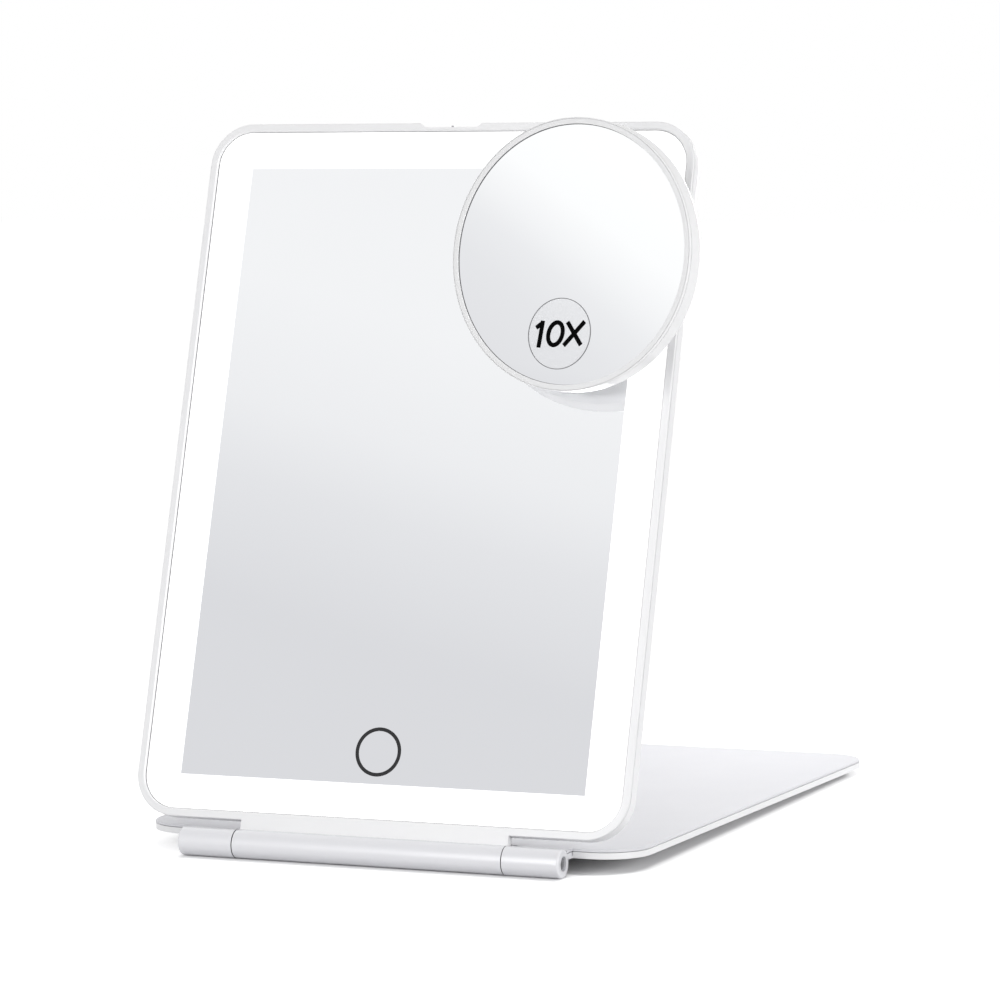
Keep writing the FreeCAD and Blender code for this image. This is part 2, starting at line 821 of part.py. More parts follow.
def board_parts():
    """The controller and two coils on the front of the board."""
    middle = (board_bottom + board_top) / 2
    sizes = [(0, chip_size, chip_height)]
    for side in (-1, 1):
        sizes.append((side * board_width / 4, coil_size, coil_height))
    found = []
    for across, size, height in sizes:
        found.append(block(across - size / 2, across + size / 2, board_front - height, board_front,
                           middle - size / 2, middle + size / 2))
    return Part.makeCompound(found)


def battery_leads():
    """Two short leads from the battery's lower edge to the board."""
    found = []
    for side in (-1, 1):
        across, depth = side * lead_spacing / 2, board_front - lead_radius
        found.append(rod(lead_radius, Vector(across, depth, board_top - lead_overlap),
                         Vector(across, depth, battery_bottom - fit_gap)))
    return Part.makeCompound(found)


def charge_port():
    """A charging socket: a thin metal sleeve, closed at the rear, with a tongue inside."""
    sleeve = port_opening(0, port_mouth, port_end)
    sleeve = sleeve.cut(port_opening(-port_wall, port_mouth - cut_margin, port_end - port_rear_wall))
    tongue = block(port_mouth + port_tongue_setback, port_end - port_rear_wall,
                   port_depth - port_tongue_height / 2, port_depth + port_tongue_height / 2,
                   port_up - port_tongue_width / 2, port_up + port_tongue_width / 2)
    return sleeve.fuse(tongue).removeSplitter()


def port_board():
    """The small board that carries the charging socket."""
    front = port_depth + port_height / 2 + fit_gap
    half = port_width / 2 + port_board_margin
    near = port_mouth + port_board_setback
    return block(near, port_end + port_board_margin, front, front + port_board_thickness,
                 port_up - half, port_up + half)


def panel_magnets():
    """Two magnets near the panel's top that face those in the plate when it is shut."""
    found = []
    for side in (-1, 1):
        across, up = side * magnet_spacing / 2, panel_high - panel_magnet_drop
        back = inner_back - fit_gap
        found.append(rod(magnet_radius, Vector(across, back - magnet_thickness, up),
                         Vector(across, back, up)))
    return Part.makeCompound(found)


board = block(-board_width / 2, board_width / 2, board_front, board_back, board_bottom, board_top)
battery = slab(battery_width / 2, battery_bottom, battery_top, battery_corner,
               battery_back - battery_thickness, battery_back)
save("battery", on_panel(battery))
save("battery_leads", on_panel(battery_leads()))
save("control_board", on_panel(board))
save("board_parts", on_panel(board_parts()))
save("charge_port", on_panel(charge_port()))
save("port_board", on_panel(port_board()))
save("panel_magnets", on_panel(panel_magnets()))

# Suction mount: heights are measured from the glass, depths from the ball's centre

def at_height(height):
    """The depth of a place at one height above the glass."""
    return ball_standoff - height


def suction_cup():
    """The soft cup with its thin lip and a tab to peel it off by."""
    cup = turned_polygon([
        (cup_radius, at_height(fit_gap)), (cup_radius, at_height(cup_edge)),
        (cap_radius, at_height(cap_low - fit_gap)), (0, at_height(cap_low - fit_gap)),
        (0, at_height(cup_hollow)), (cup_radius - cup_lip, at_height(fit_gap)),
    ])
    half = pull_tab_width / 2
    tab = block(-half, half, at_height(cup_edge), at_height(fit_gap),
                -cup_radius - pull_tab_length, -sqrt(cup_radius ** 2 - half ** 2))
    return cup.fuse(tab)


def cup_cap():
    """The hard cap on the cup, which traps the foot of the stud."""
    cap = turned_polygon([
        (0, at_height(cap_low)), (cap_radius, at_height(cap_low)),
        (cap_radius, at_height(cap_high - cap_round)), (cap_radius - cap_round, at_height(cap_high)),
        (0, at_height(cap_high)),
    ])
    pocket = rod(stud_foot_radius + fit_gap, Vector(0, at_height(stud_foot_high + fit_gap), 0),
                 Vector(0, at_height(stud_foot_low - fit_gap), 0))
    hole = rod(neck_radius + fit_gap, Vector(0, at_height(cap_high + cut_margin), 0),
               Vector(0, at_height(stud_foot_high), 0))
    return cap.cut(pocket).cut(hole)


def ball_stud():
    """The ball, its neck and the foot inside the cap."""
    ball = Part.makeSphere(ball_radius)
    neck = rod(neck_radius, ORIGIN, Vector(0, at_height(stud_foot_high), 0))
    foot = rod(stud_foot_radius, Vector(0, at_height(stud_foot_high), 0),
               Vector(0, at_height(stud_foot_low), 0))
    return ball.fuse([neck, foot]).removeSplitter()


def behind(depth):
    """A large block of everything behind one depth."""
    return block(-magnifier_radius, magnifier_radius, depth, magnifier_radius * 2,
                 -magnifier_radius, magnifier_radius)


def swivel_bush():
    """The split plastic bush between the ball and its socket."""
    outer = Part.makeSphere(socket_radius - running_gap)
    return outer.cut(Part.makeSphere(ball_radius + running_gap)).cut(behind(bush_reach))


save("suction_cup", on_mount(suction_cup()))
save("cup_cap", on_mount(cup_cap()))
save("ball_stud", on_mount(ball_stud()))
save("swivel_bush", on_magnifier(swivel_bush()))

# Magnifier: a dished mirror in a rim, on a back with the ball's socket

dish_radius = (mirror_disc_radius ** 2 + magnifier_mirror_dish ** 2) / (2 * magnifier_mirror_dish)
mirror_centre = magnifier_front + magnifier_mirror_recess + magnifier_mirror_dish
inner_wall = magnifier_front + magnifier_depth - magnifier_wall
skirt_end = magnifier_front + magnifier_skirt
rim_back = magnifier_front + magnifier_rim_depth
lap_radius = magnifier_radius - magnifier_lap


def mirror_face(radius):
    """The depth of the dished face at a radius: a sphere's hollow."""
    return mirror_centre - dish_radius + sqrt(dish_radius ** 2 - radius ** 2)


def mirror_rear(radius):
    """The depth of the mirror's back, one glass thickness behind its face."""
    return mirror_face(radius) + magnifier_mirror_thickness


def magnifier_mirror():
    """A dished glass disc of even thickness."""
    edge = mirror_disc_radius
    return turned([
        profile_arc((0, mirror_face(0)), (edge / 2, mirror_face(edge / 2)), (edge, mirror_face(edge))),
        *profile_lines([(edge, mirror_face(edge)), (edge, mirror_rear(edge))]),
        profile_arc((edge, mirror_rear(edge)), (edge / 2, mirror_rear(edge / 2)), (0, mirror_rear(0))),
        *profile_lines([(0, mirror_rear(0)), (0, mirror_face(0))]),
    ])


def magnifier_rim():
    """The flat ring in front with a fine groove, a skirt inside the back and the mirror's ledge."""
    ledge_radius = mirror_pocket_radius - magnifier_ledge
    ledge_front = mirror_rear(ledge_radius) + fit_gap
    skirt_radius = lap_radius - fit_gap
    groove_far = magnifier_radius - magnifier_groove_inset
    groove_near = groove_far - magnifier_groove_width
    groove_floor = magnifier_front + magnifier_groove_depth
    return turned_polygon([
        (mirror_pocket_radius, magnifier_front), (groove_near, magnifier_front),
        (groove_near, groove_floor), (groove_far, groove_floor), (groove_far, magnifier_front),
        (magnifier_radius - magnifier_bevel, magnifier_front),
        (magnifier_radius, magnifier_front + magnifier_bevel),
        (magnifier_radius, skirt_end), (skirt_radius, skirt_end), (skirt_radius, rim_back),
        (ledge_radius, rim_back), (ledge_radius, ledge_front), (mirror_pocket_radius, ledge_front),
    ])


def magnifier_back():
    """The back: a rounded dish that laps over the rim, and a boss with the front half of the socket."""
    rear = magnifier_front + magnifier_depth
    start = skirt_end + magnifier_seam
    shoulder = rim_back + fit_gap
    inner = magnifier_radius - magnifier_wall
    bend = magnifier_round * (1 - sqrt(0.5))
    dome = socket_radius + socket_dome
    dome_meets = sqrt(dome ** 2 - inner_wall ** 2)
    dome_angle = (atan2(inner_wall, dome_meets) + radians(-90)) / 2
    half = socket_radius * sqrt(0.5)
    return turned([
        *profile_lines([(magnifier_radius, start), (magnifier_radius, rear - magnifier_round)]),
        profile_arc((magnifier_radius, rear - magnifier_round),
                    (magnifier_radius - bend, rear - bend), (magnifier_radius - magnifier_round, rear)),
        *profile_lines([(magnifier_radius - magnifier_round, rear), (socket_boss_radius, rear),
                        (socket_boss_radius, 0), (socket_radius, 0)]),
        profile_arc((socket_radius, 0), (half, -half), (0, -socket_radius)),
        *profile_lines([(0, -socket_radius), (0, -dome)]),
        profile_arc((0, -dome), (dome * cos(dome_angle), dome * sin(dome_angle)), (dome_meets, inner_wall)),
        *profile_lines([(dome_meets, inner_wall), (inner, inner_wall), (inner, shoulder),
                        (lap_radius, shoulder), (lap_radius, start), (magnifier_radius, start)]),
    ])


def socket_ring():
    """The ring that closes the socket behind the ball's middle."""
    ring = rod(socket_boss_radius, Vector(0, fit_gap, 0), Vector(0, socket_ring_depth, 0))
    return ring.cut(Part.makeSphere(socket_radius))


def magnifier_pad():
    """The foam ring that backs the mirror."""
    near, far = magnifier_pad_inner, magnifier_pad_outer
    middle = (near + far) / 2
    back = inner_wall - fit_gap
    return turned([
        profile_arc((near, mirror_rear(near) + fit_gap), (middle, mirror_rear(middle) + fit_gap),
                    (far, mirror_rear(far) + fit_gap)),
        *profile_lines([(far, mirror_rear(far) + fit_gap), (far, back), (near, back),
                        (near, mirror_rear(near) + fit_gap)]),
    ])


save("magnifier_back", on_magnifier(magnifier_back()))
save("socket_ring", on_magnifier(socket_ring()))
save("magnifier_pad", on_magnifier(magnifier_pad()))
save("magnifier_mirror", on_magnifier(magnifier_mirror()))
save("magnifier_rim", on_magnifier(magnifier_rim()))
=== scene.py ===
"""A lighted makeup mirror that stands on its folding cover, with a round magnifier on a suction mount.

Metres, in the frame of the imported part: X along the hinge, Y to the rear, Z up from the table.
"""
import json
import bmesh
import bpy
import numpy as np
from mathutils import Matrix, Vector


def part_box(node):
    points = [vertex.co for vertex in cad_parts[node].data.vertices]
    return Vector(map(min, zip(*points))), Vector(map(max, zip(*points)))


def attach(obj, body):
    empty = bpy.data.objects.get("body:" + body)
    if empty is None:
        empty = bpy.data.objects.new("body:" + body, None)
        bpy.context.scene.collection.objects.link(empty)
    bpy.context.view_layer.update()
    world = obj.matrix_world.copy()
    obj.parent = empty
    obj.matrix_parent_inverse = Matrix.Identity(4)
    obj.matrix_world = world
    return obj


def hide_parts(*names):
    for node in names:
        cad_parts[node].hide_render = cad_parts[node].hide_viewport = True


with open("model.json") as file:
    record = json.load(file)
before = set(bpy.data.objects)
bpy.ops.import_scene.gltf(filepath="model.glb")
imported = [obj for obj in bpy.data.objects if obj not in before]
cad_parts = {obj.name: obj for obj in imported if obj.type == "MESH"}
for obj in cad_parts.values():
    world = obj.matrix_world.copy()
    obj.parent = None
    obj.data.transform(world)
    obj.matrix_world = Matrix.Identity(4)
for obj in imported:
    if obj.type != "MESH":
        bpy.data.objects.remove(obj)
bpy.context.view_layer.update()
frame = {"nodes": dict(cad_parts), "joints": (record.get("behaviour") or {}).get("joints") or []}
nodes = frame["nodes"]
joints = {joint["name"]: joint for joint in frame["joints"]}


# Lower cover plate: the underside of the folding cover, which is the base when the mirror stands.
# White ABS, injection moulded with a fine eroded grain, and screwed up into the hinge's tongues.
mm = 0.001
casing_colour = (0.85, 0.85, 0.855)
casing_shade = (0.835, 0.835, 0.845)
casing_roughness = 0.38
plain_grain = 0.35 * mm
plain_grain_depth = 0.004 * mm
tone_patch = 40 * mm
smear_patch = 9 * mm
smear_low = 0.95
smear_high = 1.05
cloud_detail = 3.0
cloud_starts = 0.25
cloud_ends = 0.75


def shader_node(tree, kind, settings=None, feeds=(), **inputs):
    """Adds one shader node. Feeds are set by order and inputs by name: a socket is linked, a value is set."""
    made = tree.nodes.new("ShaderNode" + kind)
    for name, value in (settings or {}).items():
        setattr(made, name, value)
    wanted = list(enumerate(feeds)) + [(name.replace("_", " "), value) for name, value in inputs.items()]
    for name, value in wanted:
        if isinstance(value, bpy.types.NodeSocket):
            tree.links.new(value, made.inputs[name])
        else:
            made.inputs[name].default_value = value
    return made


def new_finish(name, roughness, metallic=0.0):
    """A named material, with its node tree, its shader and the place on the object that patterns read."""
    material = bpy.data.materials.new(name)
    material.use_nodes = True
    tree = material.node_tree
    surface = tree.nodes["Principled BSDF"]
    surface.inputs["Roughness"].default_value = roughness
    surface.inputs["Metallic"].default_value = metallic
    place = shader_node(tree, "TexCoord").outputs["Object"]
    return material, tree, surface, place


def spread(tree, value, starts, ends, low, high):
    """Eases from low to high while the value goes from its start to its end."""
    eased_value = shader_node(tree, "MapRange", {"interpolation_type": "SMOOTHSTEP"}, Value=value,
                              From_Min=starts, From_Max=ends, To_Min=low, To_Max=high)
    return eased_value.outputs["Result"]


def cloud(tree, place, size, low=0.0, high=1.0):
    """A soft random field with patches of about this size, spread smoothly from low to high."""
    noise = shader_node(tree, "TexNoise", Vector=place, Scale=1 / size, Detail=cloud_detail)
    return spread(tree, noise.outputs["Fac"], cloud_starts, cloud_ends, low, high)


def two_tones(tree, surface, share, first, second):
    """Colours the surface from one tone to another as the share goes from 0 to 1."""
    ramp = shader_node(tree, "ValToRGB", Fac=share)
    ramp.color_ramp.elements[0].color = (*first, 1)
    ramp.color_ramp.elements[1].color = (*second, 1)
    tree.links.new(ramp.outputs["Color"], surface.inputs["Base Color"])


def smears(tree, surface, place, patch, roughness, low, high):
    """Patches that are a little smoother or rougher than the rest, as where it is handled."""
    tree.links.new(cloud(tree, place, patch, roughness * low, roughness * high), surface.inputs["Roughness"])


def relief(tree, surface, height, depth):
    """Raises the surface by a height field, at most by this depth."""
    bump = shader_node(tree, "Bump", Strength=1.0, Distance=depth, Height=height)
    tree.links.new(bump.outputs["Normal"], surface.inputs["Normal"])


def moulded_plastic(name, colour, shade, roughness, grain=plain_grain, grain_depth=plain_grain_depth):
    """Moulded plastic: slow changes of tone, smears where it is handled, and an eroded grain."""
    material, tree, surface, place = new_finish(name, roughness)
    two_tones(tree, surface, cloud(tree, place, tone_patch), colour, shade)
    smears(tree, surface, place, smear_patch, roughness, smear_low, smear_high)
    relief(tree, surface, cloud(tree, place, grain), grain_depth)
    return material


def dress(material, *names):
    """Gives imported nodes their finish."""
    for name in names:
        nodes[name].material_slots[0].material = material


casing_white = moulded_plastic("casing_white", casing_colour, casing_shade, casing_roughness)
dress(casing_white, "base_lower_plate")


# Cover skin: the smooth upper face of the folding cover, which shows behind the standing panel.
# Thin sheet in satin pearl lacquer, bonded to the lower plate, with tabs over the hinge's necks.
plate_colour = (0.74, 0.74, 0.765)
plate_shade = (0.715, 0.715, 0.745)
plate_roughness = 0.5
plate_gloss = 0.0
plate_specular = 0.3
flake_size = 0.25 * mm
flake_share = 0.4
lacquer_patch = 60 * mm
lacquer_patch_share = 0.6
lacquer_smear_patch = 12 * mm
lacquer_smear_high = 1.06
peel_size = 1.2 * mm
peel_depth = 0.003 * mm
coat_roughness = 0.2


def worked_out(tree, operation, *feeds):
    """A sum worked out in the shader."""
    return shader_node(tree, "Math", {"operation": operation}, feeds).outputs["Value"]


def set_value(material, socket, value):
    """Sets a value of the shader that is the same all over the surface."""
    material.node_tree.nodes["Principled BSDF"].inputs[socket].default_value = value


def pearl_lacquer(name, colour, shade, roughness, gloss, specular):
    """Pearl lacquer: tiny flakes that differ a little in tone, a faint orange peel, and any clear coat."""
    material, tree, surface, place = new_finish(name, roughness)
    flakes = shader_node(tree, "TexVoronoi", Vector=place, Scale=1 / flake_size)
    flake = shader_node(tree, "SeparateColor", Color=flakes.outputs["Color"]).outputs["Red"]
    tone = cloud(tree, place, lacquer_patch, high=lacquer_patch_share)
    two_tones(tree, surface, worked_out(tree, "MULTIPLY_ADD", flake, flake_share, tone), colour, shade)
    smears(tree, surface, place, lacquer_smear_patch, roughness, smear_low, lacquer_smear_high)
    relief(tree, surface, cloud(tree, place, peel_size), peel_depth)
    set_value(material, "Coat Weight", gloss)
    set_value(material, "Coat Roughness", coat_roughness)
    set_value(material, "Specular IOR Level", specular)
    return material


plate_white = pearl_lacquer("plate_white", plate_colour, plate_shade, plate_roughness, plate_gloss,
                            plate_specular)
dress(plate_white, "base_top_plate")


# Hinge barrel: two end knuckles on the cover and one long knuckle on the panel, in one line.
# Zinc castings in pearl lacquer; the long one has a leaf inside the casing, held by four screws.
# The faces where the knuckles meet are painted dark, as painted shade in the gaps between the knuckles.
barrel_colour = (0.775, 0.775, 0.80)
barrel_shade = (0.75, 0.75, 0.78)
barrel_roughness = 0.35
barrel_gloss = 0.8
barrel_specular = 0.8
painted_joint_shade = (0.10, 0.10, 0.11, 1.0)
joint_facing = 0.7
joint_margin = 3 * mm
barrel_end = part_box("right_knuckle")[1][0]
barrel_white = pearl_lacquer("barrel_white", barrel_colour, barrel_shade, barrel_roughness, barrel_gloss,
                             barrel_specular)
barrel_tree = barrel_white.node_tree
barrel_base = barrel_tree.nodes["Principled BSDF"].inputs["Base Color"]
barrel_place = shader_node(barrel_tree, "TexCoord").outputs


def sideways_test(vector, operation, limit):
    """1 where the size of a vector's X passes a test against a limit, and 0 elsewhere."""
    along = shader_node(barrel_tree, "SeparateXYZ", Vector=vector).outputs["X"]
    return worked_out(barrel_tree, operation, worked_out(barrel_tree, "ABSOLUTE", along), limit)


def blended(tree, share, first, second):
    """A colour that goes from the first to the second as the share goes from 0 to 1."""
    return shader_node(tree, "MixRGB", Fac=share, Color1=first, Color2=second).outputs["Color"]


# Painted shade: the knuckles' end faces inside the barrel are coloured dark, so the gaps between them look
# shaded.
faces_along = sideways_test(barrel_place["Normal"], "GREATER_THAN", joint_facing)
between_ends = sideways_test(barrel_place["Object"], "LESS_THAN", barrel_end - joint_margin)
in_joint = worked_out(barrel_tree, "MULTIPLY", faces_along, between_ends)
lacquer_tone = barrel_base.links[0].from_socket
barrel_tree.links.new(blended(barrel_tree, in_joint, lacquer_tone, painted_joint_shade), barrel_base)
dress(barrel_white, "left_knuckle", "right_knuckle", "middle_knuckle")


# Screws and friction sleeves: countersunk cross-head screws, and two tight sleeves that grip the pin.
# Nickel-plated steel, turned, so its fine marks run round or across as the tool left them.
steel_colour = (0.62, 0.62, 0.64)
steel_shade = (0.50, 0.50, 0.53)
steel_roughness = 0.28
steel_drawn = (1.0, 0.2, 0.2)
tool_mark = 0.5 * mm
tool_mark_depth = 0.002 * mm
metal_smear_patch = 4 * mm
metal_smear_low = 0.8
metal_smear_high = 1.3


def bare_metal(name, colour, shade, roughness, drawn):
    """Bare metal with tool marks: a random field drawn out along the axes that are small in drawn."""
    material, tree, surface, place = new_finish(name, roughness, metallic=1.0)
    drawn_place = shader_node(tree, "Mapping", Vector=place, Scale=drawn).outputs["Vector"]
    marks = cloud(tree, drawn_place, tool_mark)
    two_tones(tree, surface, marks, colour, shade)
    smears(tree, surface, place, metal_smear_patch, roughness, metal_smear_low, metal_smear_high)
    relief(tree, surface, marks, tool_mark_depth)
    return material


steel = bare_metal("steel", steel_colour, steel_shade, steel_roughness, steel_drawn)
dress(steel, "knuckle_screws", "leaf_screws", "shell_screws", "friction_sleeves", "charge_port")


# Hinge pin: one long rod through all three knuckles, set back a little inside both ends.
# Ground steel with chamfered ends, pressed into the end knuckles.
pin_colour = (0.40, 0.40, 0.42)
pin_shade = (0.30, 0.30, 0.32)
pin_roughness = 0.22
pin_drawn = (1.0, 0.05, 0.05)
pin_radius = 2.0 * mm
pin_chamfer = 0.6 * mm
pin_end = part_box("hinge_pin")[1][0]
round_steps = 96
bend_steps = 5
plain_crease = 35
nearly_upright = 0.9
hinge_centre = np.array(joints["panel_hinge"]["pos_m"])
across = np.array([1.0, 0.0, 0.0])
upright = np.array([0.0, 0.0, 1.0])


def eased(corners, cut, closed=False, steps=bend_steps):
    """A run of corners, each inner one rounded: (1-t)^2 A + 2t(1-t) C + t^2 B.

    A and B lie one cut away from the corner C, or at the middle of a shorter side.
    """
    run = np.array(corners)
    run = np.vstack([run[-1:], run, run[:1]]) if closed else run
    corner = run[1:-1]

    def toward(neighbour):
        side = neighbour - corner
        return corner + side * np.minimum(cut / np.linalg.norm(side, axis=1, keepdims=True), 1 / 2)

    t = np.linspace(0, 1, steps)[None, :, None]
    start, middle, end = toward(run[:-2])[:, None], corner[:, None], toward(run[2:])[:, None]
    bends = ((1 - t) ** 2 * start + 2 * t * (1 - t) * middle + t ** 2 * end).reshape(-1, 2)
    return bends if closed else np.vstack([run[:1], bends, run[-1:]])


def turned(profile, centre, axis, steps=round_steps):
    """A profile of (radius, height) turned about an axis.

    Each point is centre + height * axis + radius * (cos a * side + sin a * over).
    """
    side = np.cross(axis, upright if abs(axis[2]) < nearly_upright else across)
    side = side / np.linalg.norm(side)
    over = np.cross(axis, side)
    angle = np.linspace(0, 2 * np.pi, steps, endpoint=False)[:, None]
    ring = np.cos(angle) * side + np.sin(angle) * over
    radius, height = np.array(profile).T[:, :, None, None]
    return centre + height * axis + radius * ring


def skin(grid, closed=False):
    """Four-sided faces over rows of points that close on themselves.

    The end rows join up if the skin is closed, and otherwise each gets a flat face.
    """
    rows, columns = grid.shape[:2]
    index = np.arange(rows * columns).reshape(rows, columns)
    lower = index if closed else index[:-1]
    upper = np.roll(index, -1, axis=0) if closed else index[1:]
    corners = [lower, np.roll(lower, -1, axis=1), np.roll(upper, -1, axis=1), upper]
    faces = np.stack(corners, axis=-1).reshape(-1, 4).tolist()
    if not closed:
        faces += [index[0][::-1].tolist(), index[-1].tolist()]
    return grid.reshape(-1, 3), faces


def add_piece(name, points, faces, material, body, slot, replaced=(), crease=plain_crease):
    """Makes a closed mesh a piece of the object, shaded smooth except at edges sharper than the crease."""
    mesh = bpy.data.meshes.new(name)
    mesh.from_pydata(points.tolist(), [], faces)
    form = bmesh.new()
    form.from_mesh(mesh)
    bmesh.ops.recalc_face_normals(form, faces=form.faces)
    form.to_mesh(mesh)
    form.free()
    mesh.shade_smooth()
    mesh.set_sharp_from_angle(angle=np.radians(crease))
    mesh.materials.append(material)
    piece = bpy.data.objects.new(name, mesh)
    bpy.context.scene.collection.objects.link(piece)
    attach(piece, body)
    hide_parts(*replaced)
    return piece


pin_profile = eased([(pin_chamfer, -pin_end), (pin_radius, -pin_end),
                     (pin_radius, pin_end), (pin_chamfer, pin_end)], pin_chamfer)
pin_steel = bare_metal("pin_steel", pin_colour, pin_shade, pin_roughness, pin_drawn)
pin = skin(turned(pin_profile, hinge_centre, across))
add_piece("pin", *pin, pin_steel, "base", "steel", ["hinge_pin"])


# Closing magnets: discs let into the plate's rear and the panel's top, which hold the cover shut.
# Sintered metal with bright nickel plating, glued into their pockets.
nickel_colour = (0.70, 0.69, 0.66)
nickel_shade = (0.60, 0.59, 0.57)
nickel_roughness = 0.18
not_drawn = (1.0, 1.0, 1.0)
magnet_nickel = bare_metal("magnet_nickel", nickel_colour, nickel_shade, nickel_roughness, not_drawn)
dress(magnet_nickel, "plate_magnets", "panel_magnets")


# Rear feet: two round pads that carry the cover's rear edge, so that it stands just off the table.
# Moulded grey-white rubber with a soft edge and a grip ring, stuck to the underside.
foot_colour = (0.60, 0.60, 0.62)
foot_shade = (0.52, 0.52, 0.55)
foot_roughness = 0.75
foot_grain = 0.2 * mm
foot_grain_depth = 0.01 * mm
foot_radius = 6.0 * mm
foot_core = 0.4 * mm
foot_round = 0.35 * mm
foot_ring = 4.2 * mm
foot_ring_width = 0.5 * mm
foot_ring_share = 0.16
foot_steps = 64
plate_tilt = np.radians(0.787)
plate_underside = 0.57 * mm
foot_low, foot_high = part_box("rear_feet")
foot_profile = eased([(foot_core, 1.0), (foot_radius, 1.0), (foot_radius, 0.0),
                      (foot_ring + foot_ring_width, 0.0), (foot_ring, foot_ring_share),
                      (foot_ring - foot_ring_width, 0.0), (foot_core, 0.0)], foot_round)
foot_parts = []
for end in (foot_low[0] + foot_radius, foot_high[0] - foot_radius):
    foot_middle = np.array([end, (foot_low[1] + foot_high[1]) / 2, 0.0])
    foot = turned(foot_profile, foot_middle, upright, foot_steps)
    clearance = hinge_centre[2] + (plate_underside - foot[:, :, 1] * np.sin(plate_tilt)) / np.cos(plate_tilt)
    foot[:, :, 2] *= clearance
    foot_parts.append(skin(foot))


def together(parts):
    """Several skins as one mesh: all their points, and faces that count on from part to part."""
    points = np.vstack([part[0] for part in parts])
    starts = np.cumsum([0] + [len(part[0]) for part in parts])
    faces = [[corner + start for corner in face] for part, start in zip(parts, starts) for face in part[1]]
    return points, faces


foot_rubber = moulded_plastic("foot_rubber", foot_colour, foot_shade, foot_roughness, foot_grain,
                              foot_grain_depth)
add_piece("feet", *together(foot_parts), foot_rubber, "base", "foot_rubber", ["rear_feet"])


# Panel casing: a front frame with the rim round the glass, and a rear shell that closes it behind.
# White ABS; the frame is a little glossier than the shell, which six screws hold to the light tray.
frame_roughness = 0.30
frame_grain = 0.3 * mm
frame_grain_depth = 0.002 * mm
frame_white = moulded_plastic("frame_white", casing_colour, casing_shade, frame_roughness, frame_grain,
                              frame_grain_depth)
dress(frame_white, "front_frame")
dress(casing_white, "rear_shell")


# Charging light: a tiny round light pipe that stands a little proud of the finger notch's floor.
# Smoked clear plastic, pressed into its hole.
smoked_colour = (0.42, 0.42, 0.43)
smoked_shade = (0.34, 0.34, 0.35)
smoked_roughness = 0.25
smoked_plastic = moulded_plastic("smoked_plastic", smoked_colour, smoked_shade, smoked_roughness)
dress(smoked_plastic, "charge_light")


# Charging socket: a pressed steel sleeve with a tongue inside, on a small board at the left edge.
# The tongue is black nylon with a row of gold-plated contacts on each face, moulded in.
tongue_colour = (0.03, 0.03, 0.03)
tongue_shade = (0.02, 0.02, 0.02)
tongue_roughness = 0.45
gold_colour = (0.85, 0.62, 0.28)
gold_shade = (0.72, 0.50, 0.20)
gold_roughness = 0.2
gold_drawn = (0.1, 1.0, 1.0)
pull_axis = joints["magnifier_pull_off"]["axis"]
panel_lean = np.arctan2(pull_axis[2], -pull_axis[1])
panel_back = np.array([0.0, np.cos(panel_lean), -np.sin(panel_lean)])
panel_up = np.array([0.0, np.sin(panel_lean), np.cos(panel_lean)])
port_depth = 5.18 * mm
port_rise = 45.7 * mm
tongue_nose = -83.63 * mm
tongue_root = -77.9 * mm
tongue_half_depth = 0.37 * mm
tongue_half_width = 3.37 * mm
tongue_round = 0.12 * mm
contact_count = 12
contact_pitch = 0.5 * mm
contact_half = 0.13 * mm
contact_start = 0.5 * mm
contact_length = 3.4 * mm
contact_proud = 0.02 * mm
contact_round = 0.01 * mm
bar_bend_steps = 3


def on_panel(x, depth, rise):
    """A place on the panel: across it, behind its hinge line and up its face, in the leaning frame."""
    x, depth, rise = np.broadcast_arrays(x, depth, rise)
    return hinge_centre + x[..., None] * across + depth[..., None] * panel_back + rise[..., None] * panel_up


def bar(x_low, x_high, depth, rise, half_depth, half_rise, cut):
    """A bar along X with rounded corners: one eased rectangle, drawn in a little at its first end."""
    corners = [(-half_depth, -half_rise), (half_depth, -half_rise),
               (half_depth, half_rise), (-half_depth, half_rise)]
    outline = eased(corners, cut, closed=True, steps=bar_bend_steps)
    x = np.array([x_low, x_low + cut, x_high])[:, None]
    share = np.array([(half_depth - cut) / half_depth, 1.0, 1.0])[:, None]
    return skin(on_panel(x, depth + share * outline[:, 0], rise + outline[:, 1]))


tongue_black = moulded_plastic("tongue_black", tongue_colour, tongue_shade, tongue_roughness)
tongue = bar(tongue_nose, tongue_root, port_depth, port_rise, tongue_half_depth, tongue_half_width,
             tongue_round)
add_piece("port_tongue", *tongue, tongue_black, "mirror_panel", "chip_black")
contacts = []
contact_low = tongue_nose + contact_start
contact_high = tongue_nose + contact_length
for face in (-1, 1):
    contact_depth = port_depth + face * tongue_half_depth
    for place in range(contact_count):
        contact_rise = port_rise + (place - (contact_count - 1) / 2) * contact_pitch
        contacts.append(bar(contact_low, contact_high, contact_depth, contact_rise, contact_proud,
                            contact_half, contact_round))
contact_gold = bare_metal("contact_gold", gold_colour, gold_shade, gold_roughness, gold_drawn)
add_piece("port_contacts", *together(contacts), contact_gold, "mirror_panel", "copper")


# Circuit boards and lamp strips: the control board, the socket's board and four strips of lamps.
# Glass fibre under solder mask, green with copper tracks just visible, or white on the strips.
# The controller and the two coils on the control board are moulded in black epoxy.
strip_colour = (0.80, 0.80, 0.78)
strip_shade = (0.74, 0.74, 0.72)
strip_roughness = 0.35
board_green = (0.03, 0.16, 0.07)
track_green = (0.06, 0.26, 0.11)
mask_roughness = 0.3
track_pitch = 1.6 * mm
track_share = 0.12
track_height = 0.03 * mm
chip_colour = (0.04, 0.04, 0.045)
chip_shade = (0.03, 0.03, 0.03)
chip_roughness = 0.55
chip_grain = 0.15 * mm
chip_grain_depth = 0.01 * mm


